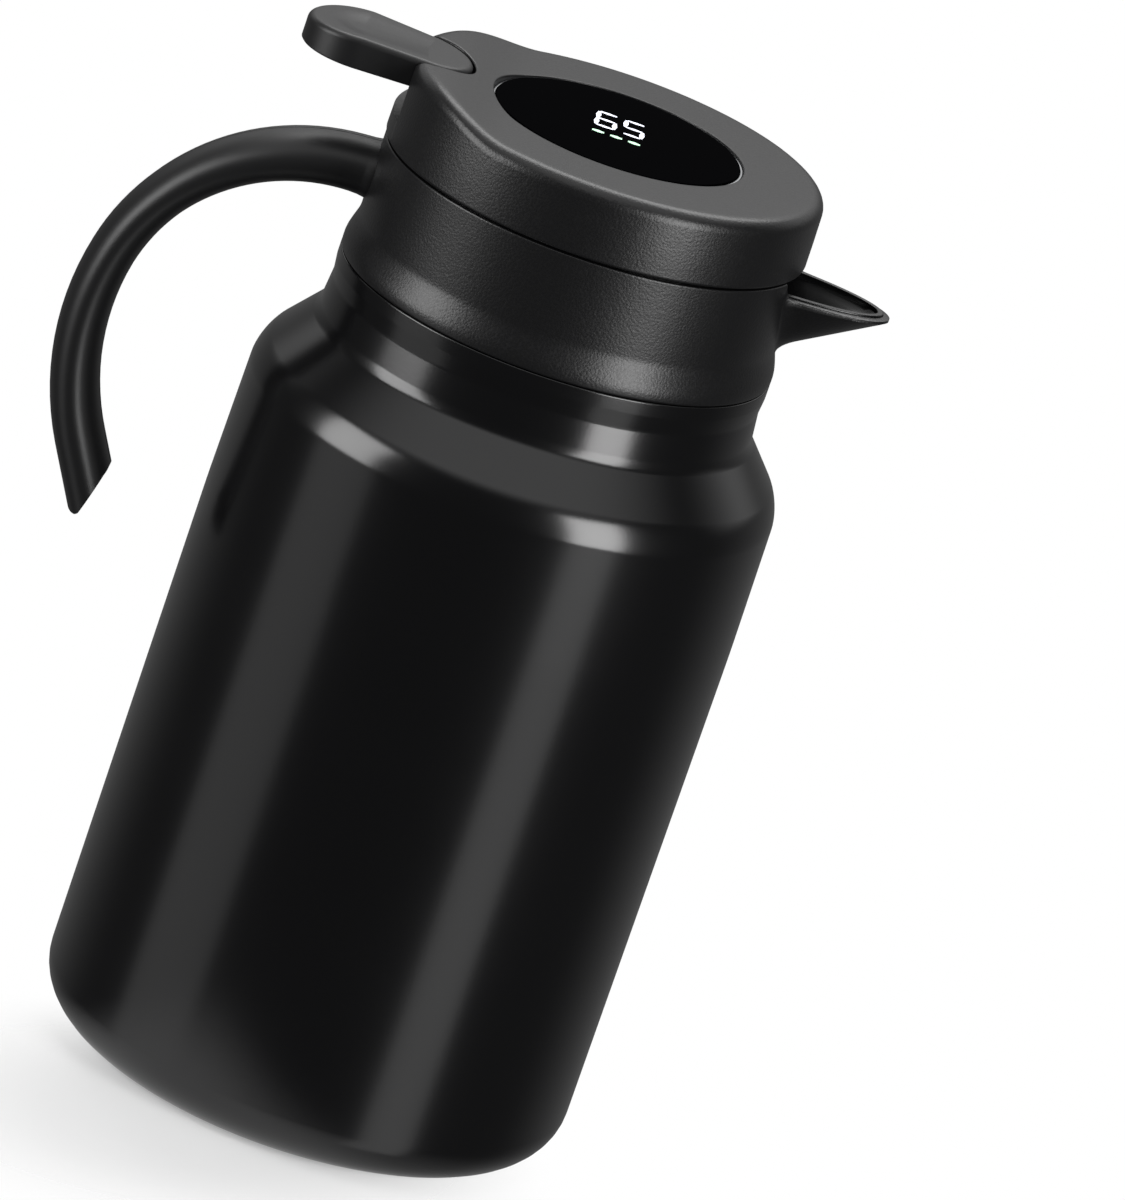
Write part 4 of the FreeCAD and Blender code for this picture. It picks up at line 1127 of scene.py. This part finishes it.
class JUG_OT_stage(bpy.types.Operator):
    """Sets up the floor, the light and the camera"""
    bl_idname = "jug.stage"
    bl_label = "Stage"

    def execute(self, context):
        scene = context.scene
        scene.view_settings.view_transform = "Standard"
        deselect()
        bpy.ops.mesh.primitive_circle_add(vertices=96, radius=0.19, fill_type="NGON", location=(0, 0, 0))
        floor = settled("floor")
        floor.data.materials.append(self.pale_floor())
        self.studio(scene)
        for name, values in SOFTBOXES.items():
            softbox(name, *values)
        self.camera(scene)
        return {"FINISHED"}

    def pale_floor(self):
        """Matt white board that fades into the white round it, away from the soft shadow at the left."""
        finish = new_finish("matt_white_board", linear("#f4f4f4"), 0.9)
        tree = finish.node_tree
        shadow = {"vector_type": "TEXTURE", "Location": (-0.02, -0.055, 0),
                  "Rotation": (0, 0, math.radians(40)), "Scale": (0.1, 0.062, 1)}
        patch = add_node(tree, "ShaderNodeMapping", shadow, place_of(tree))
        apart = add_node(tree, "ShaderNodeVectorMath", {"operation": "LENGTH"}, {0: patch})
        fading = {"From Min": 0.3, "From Max": 1.0, "To Min": 1.0, "To Max": 0.0,
                  "interpolation_type": "SMOOTHSTEP"}
        fade = add_node(tree, "ShaderNodeMapRange", fading, {"Value": apart.outputs["Value"]})
        board = tree.nodes["Principled BSDF"]
        tree.links.new(fade.outputs[0], board.inputs["Alpha"])
        path = add_node(tree, "ShaderNodeLightPath")
        largest = {"operation": "MAXIMUM"}
        direct = {0: path.outputs["Is Camera Ray"], 1: path.outputs["Is Transmission Ray"]}
        direct = add_node(tree, "ShaderNodeMath", largest, direct)
        seen = add_node(tree, "ShaderNodeMath", largest, {0: direct, 1: path.outputs["Is Glossy Ray"]})
        lift = add_node(tree, "ShaderNodeMath", {"operation": "MULTIPLY", 1: 0.3}, {0: seen})
        white = add_node(tree, "ShaderNodeEmission", {"Color": (1, 1, 1, 1), "Strength": 1.0})
        clear = add_node(tree, "ShaderNodeBsdfTransparent")
        lit = add_node(tree, "ShaderNodeMixShader", None, {0: fade, 1: clear, 2: white})
        both = add_node(tree, "ShaderNodeMixShader", None, {0: lift, 1: board, 2: lit})
        tree.links.new(both.outputs[0], tree.nodes["Material Output"].inputs["Surface"])
        return finish

    def studio(self, scene):
        """White all round to the eye, and to a reflection a dim room with white behind and above the jug."""
        world = bpy.data.worlds.new("white_studio")
        scene.world = world
        world.use_nodes = True
        tree = world.node_tree
        way = add_node(tree, "ShaderNodeTexCoord").outputs["Generated"]
        parts = add_node(tree, "ShaderNodeSeparateXYZ", None, {0: way})
        ramps = []
        for axis, begin, end, low, high in (("Y", 0.2, 0.8, 0.0, 1.0), ("Z", 0.1, 0.35, 0.1, 0.7),
                                            ("Z", 0.6, 0.85, 0.0, 0.9)):
            ramp = {"From Min": begin, "From Max": end, "To Min": low, "To Max": high,
                    "interpolation_type": "SMOOTHSTEP"}
            ramps.append(add_node(tree, "ShaderNodeMapRange", ramp, {"Value": parts.outputs[axis]}))
        behind, raised, ceiling = ramps
        sheet = add_node(tree, "ShaderNodeMath", {"operation": "MULTIPLY"}, {0: behind, 1: raised})
        largest = {"operation": "MAXIMUM"}
        lit = add_node(tree, "ShaderNodeMath", largest, {0: sheet, 1: ceiling})
        room = add_node(tree, "ShaderNodeMath", {"operation": "ADD", 1: 0.05}, {0: lit})
        path = add_node(tree, "ShaderNodeLightPath")
        level = add_node(tree, "ShaderNodeMix", {"data_type": "FLOAT", 2: 0.3},
                         {0: path.outputs["Is Glossy Ray"], 3: room})
        direct = {0: path.outputs["Is Camera Ray"], 1: path.outputs["Is Transmission Ray"]}
        seen = add_node(tree, "ShaderNodeMath", largest, direct)
        strength = add_node(tree, "ShaderNodeMix", {"data_type": "FLOAT", 3: 1.0}, {0: seen, 2: level})
        background = tree.nodes["Background"].inputs
        background["Color"].default_value = (1, 1, 1, 1)
        tree.links.new(strength.outputs[0], background["Strength"])

    def camera(self, scene):
        """A long lens from the front, 19 degrees up and rolled 19 degrees, as the picture was taken."""
        rise, roll, reach, centre = 0.3243, 0.3324, 2.3855, 0.12406
        aim_right, aim_down = 0.00932, 0.001977
        back = Vector((0, -math.cos(rise), math.sin(rise)))
        level = Vector((0, math.sin(rise), math.cos(rise)))
        across = Vector((1, 0, 0))
        right = math.cos(roll) * across + math.sin(roll) * level
        up = math.cos(roll) * level - math.sin(roll) * across
        aim = (right * aim_right - up * aim_down - back).normalized()
        side = aim.cross(up).normalized()
        turn = Matrix((side, side.cross(aim), -aim)).transposed().to_4x4()
        bpy.ops.object.camera_add()
        camera = bpy.context.active_object
        camera.name = "camera"
        camera.matrix_world = Matrix.Translation(Vector((0, 0, centre)) + back * reach) @ turn
        camera.data.sensor_fit = "VERTICAL"
        camera.data.sensor_height = 36
        camera.data.lens = 318.28
        camera.data.clip_end = 20
        scene.camera = camera


class JUG_PT_panel(bpy.types.Panel):
    """Lists the jug's pieces, sizes and colours"""
    bl_label = "Insulated Jug"
    bl_idname = "JUG_PT_panel"
    bl_space_type = "VIEW_3D"
    bl_region_type = "UI"
    bl_category = "Jug"

    def draw(self, context):
        column = self.layout.column(align=True)
        for piece in PIECES:
            column.operator(piece.bl_idname)
        for group in (context.scene.jug_sizes, context.scene.jug_colours):
            for name in group.__annotations__:
                self.layout.prop(group, name)


PIECES = (JUG_OT_vessel, JUG_OT_flask, JUG_OT_collar, JUG_OT_handle, JUG_OT_cap, JUG_OT_lever, JUG_OT_display,
          JUG_OT_stopper, JUG_OT_infuser, JUG_OT_finishes, JUG_OT_stage)
CLASSES = (JugSizes, JugColours, *PIECES, JUG_PT_panel)


def register():
    """Adds the classes and the scene's two groups of settings."""
    for item in CLASSES:
        bpy.utils.register_class(item)
    bpy.types.Scene.jug_sizes = bpy.props.PointerProperty(type=JugSizes)
    bpy.types.Scene.jug_colours = bpy.props.PointerProperty(type=JugColours)


def unregister():
    """Removes them again."""
    del bpy.types.Scene.jug_colours
    del bpy.types.Scene.jug_sizes
    for item in reversed(CLASSES):
        bpy.utils.unregister_class(item)


def main():
    """Builds every piece and the stage."""
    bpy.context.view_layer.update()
    register()
    bpy.ops.jug.vessel()
    bpy.ops.jug.flask()
    bpy.ops.jug.collar()
    bpy.ops.jug.handle()
    bpy.ops.jug.cap()
    bpy.ops.jug.lever()
    bpy.ops.jug.display()
    bpy.ops.jug.stopper()
    bpy.ops.jug.infuser()
    bpy.ops.jug.finishes()
    bpy.ops.jug.stage()
    deselect()


if __name__ == "__main__":
    main()
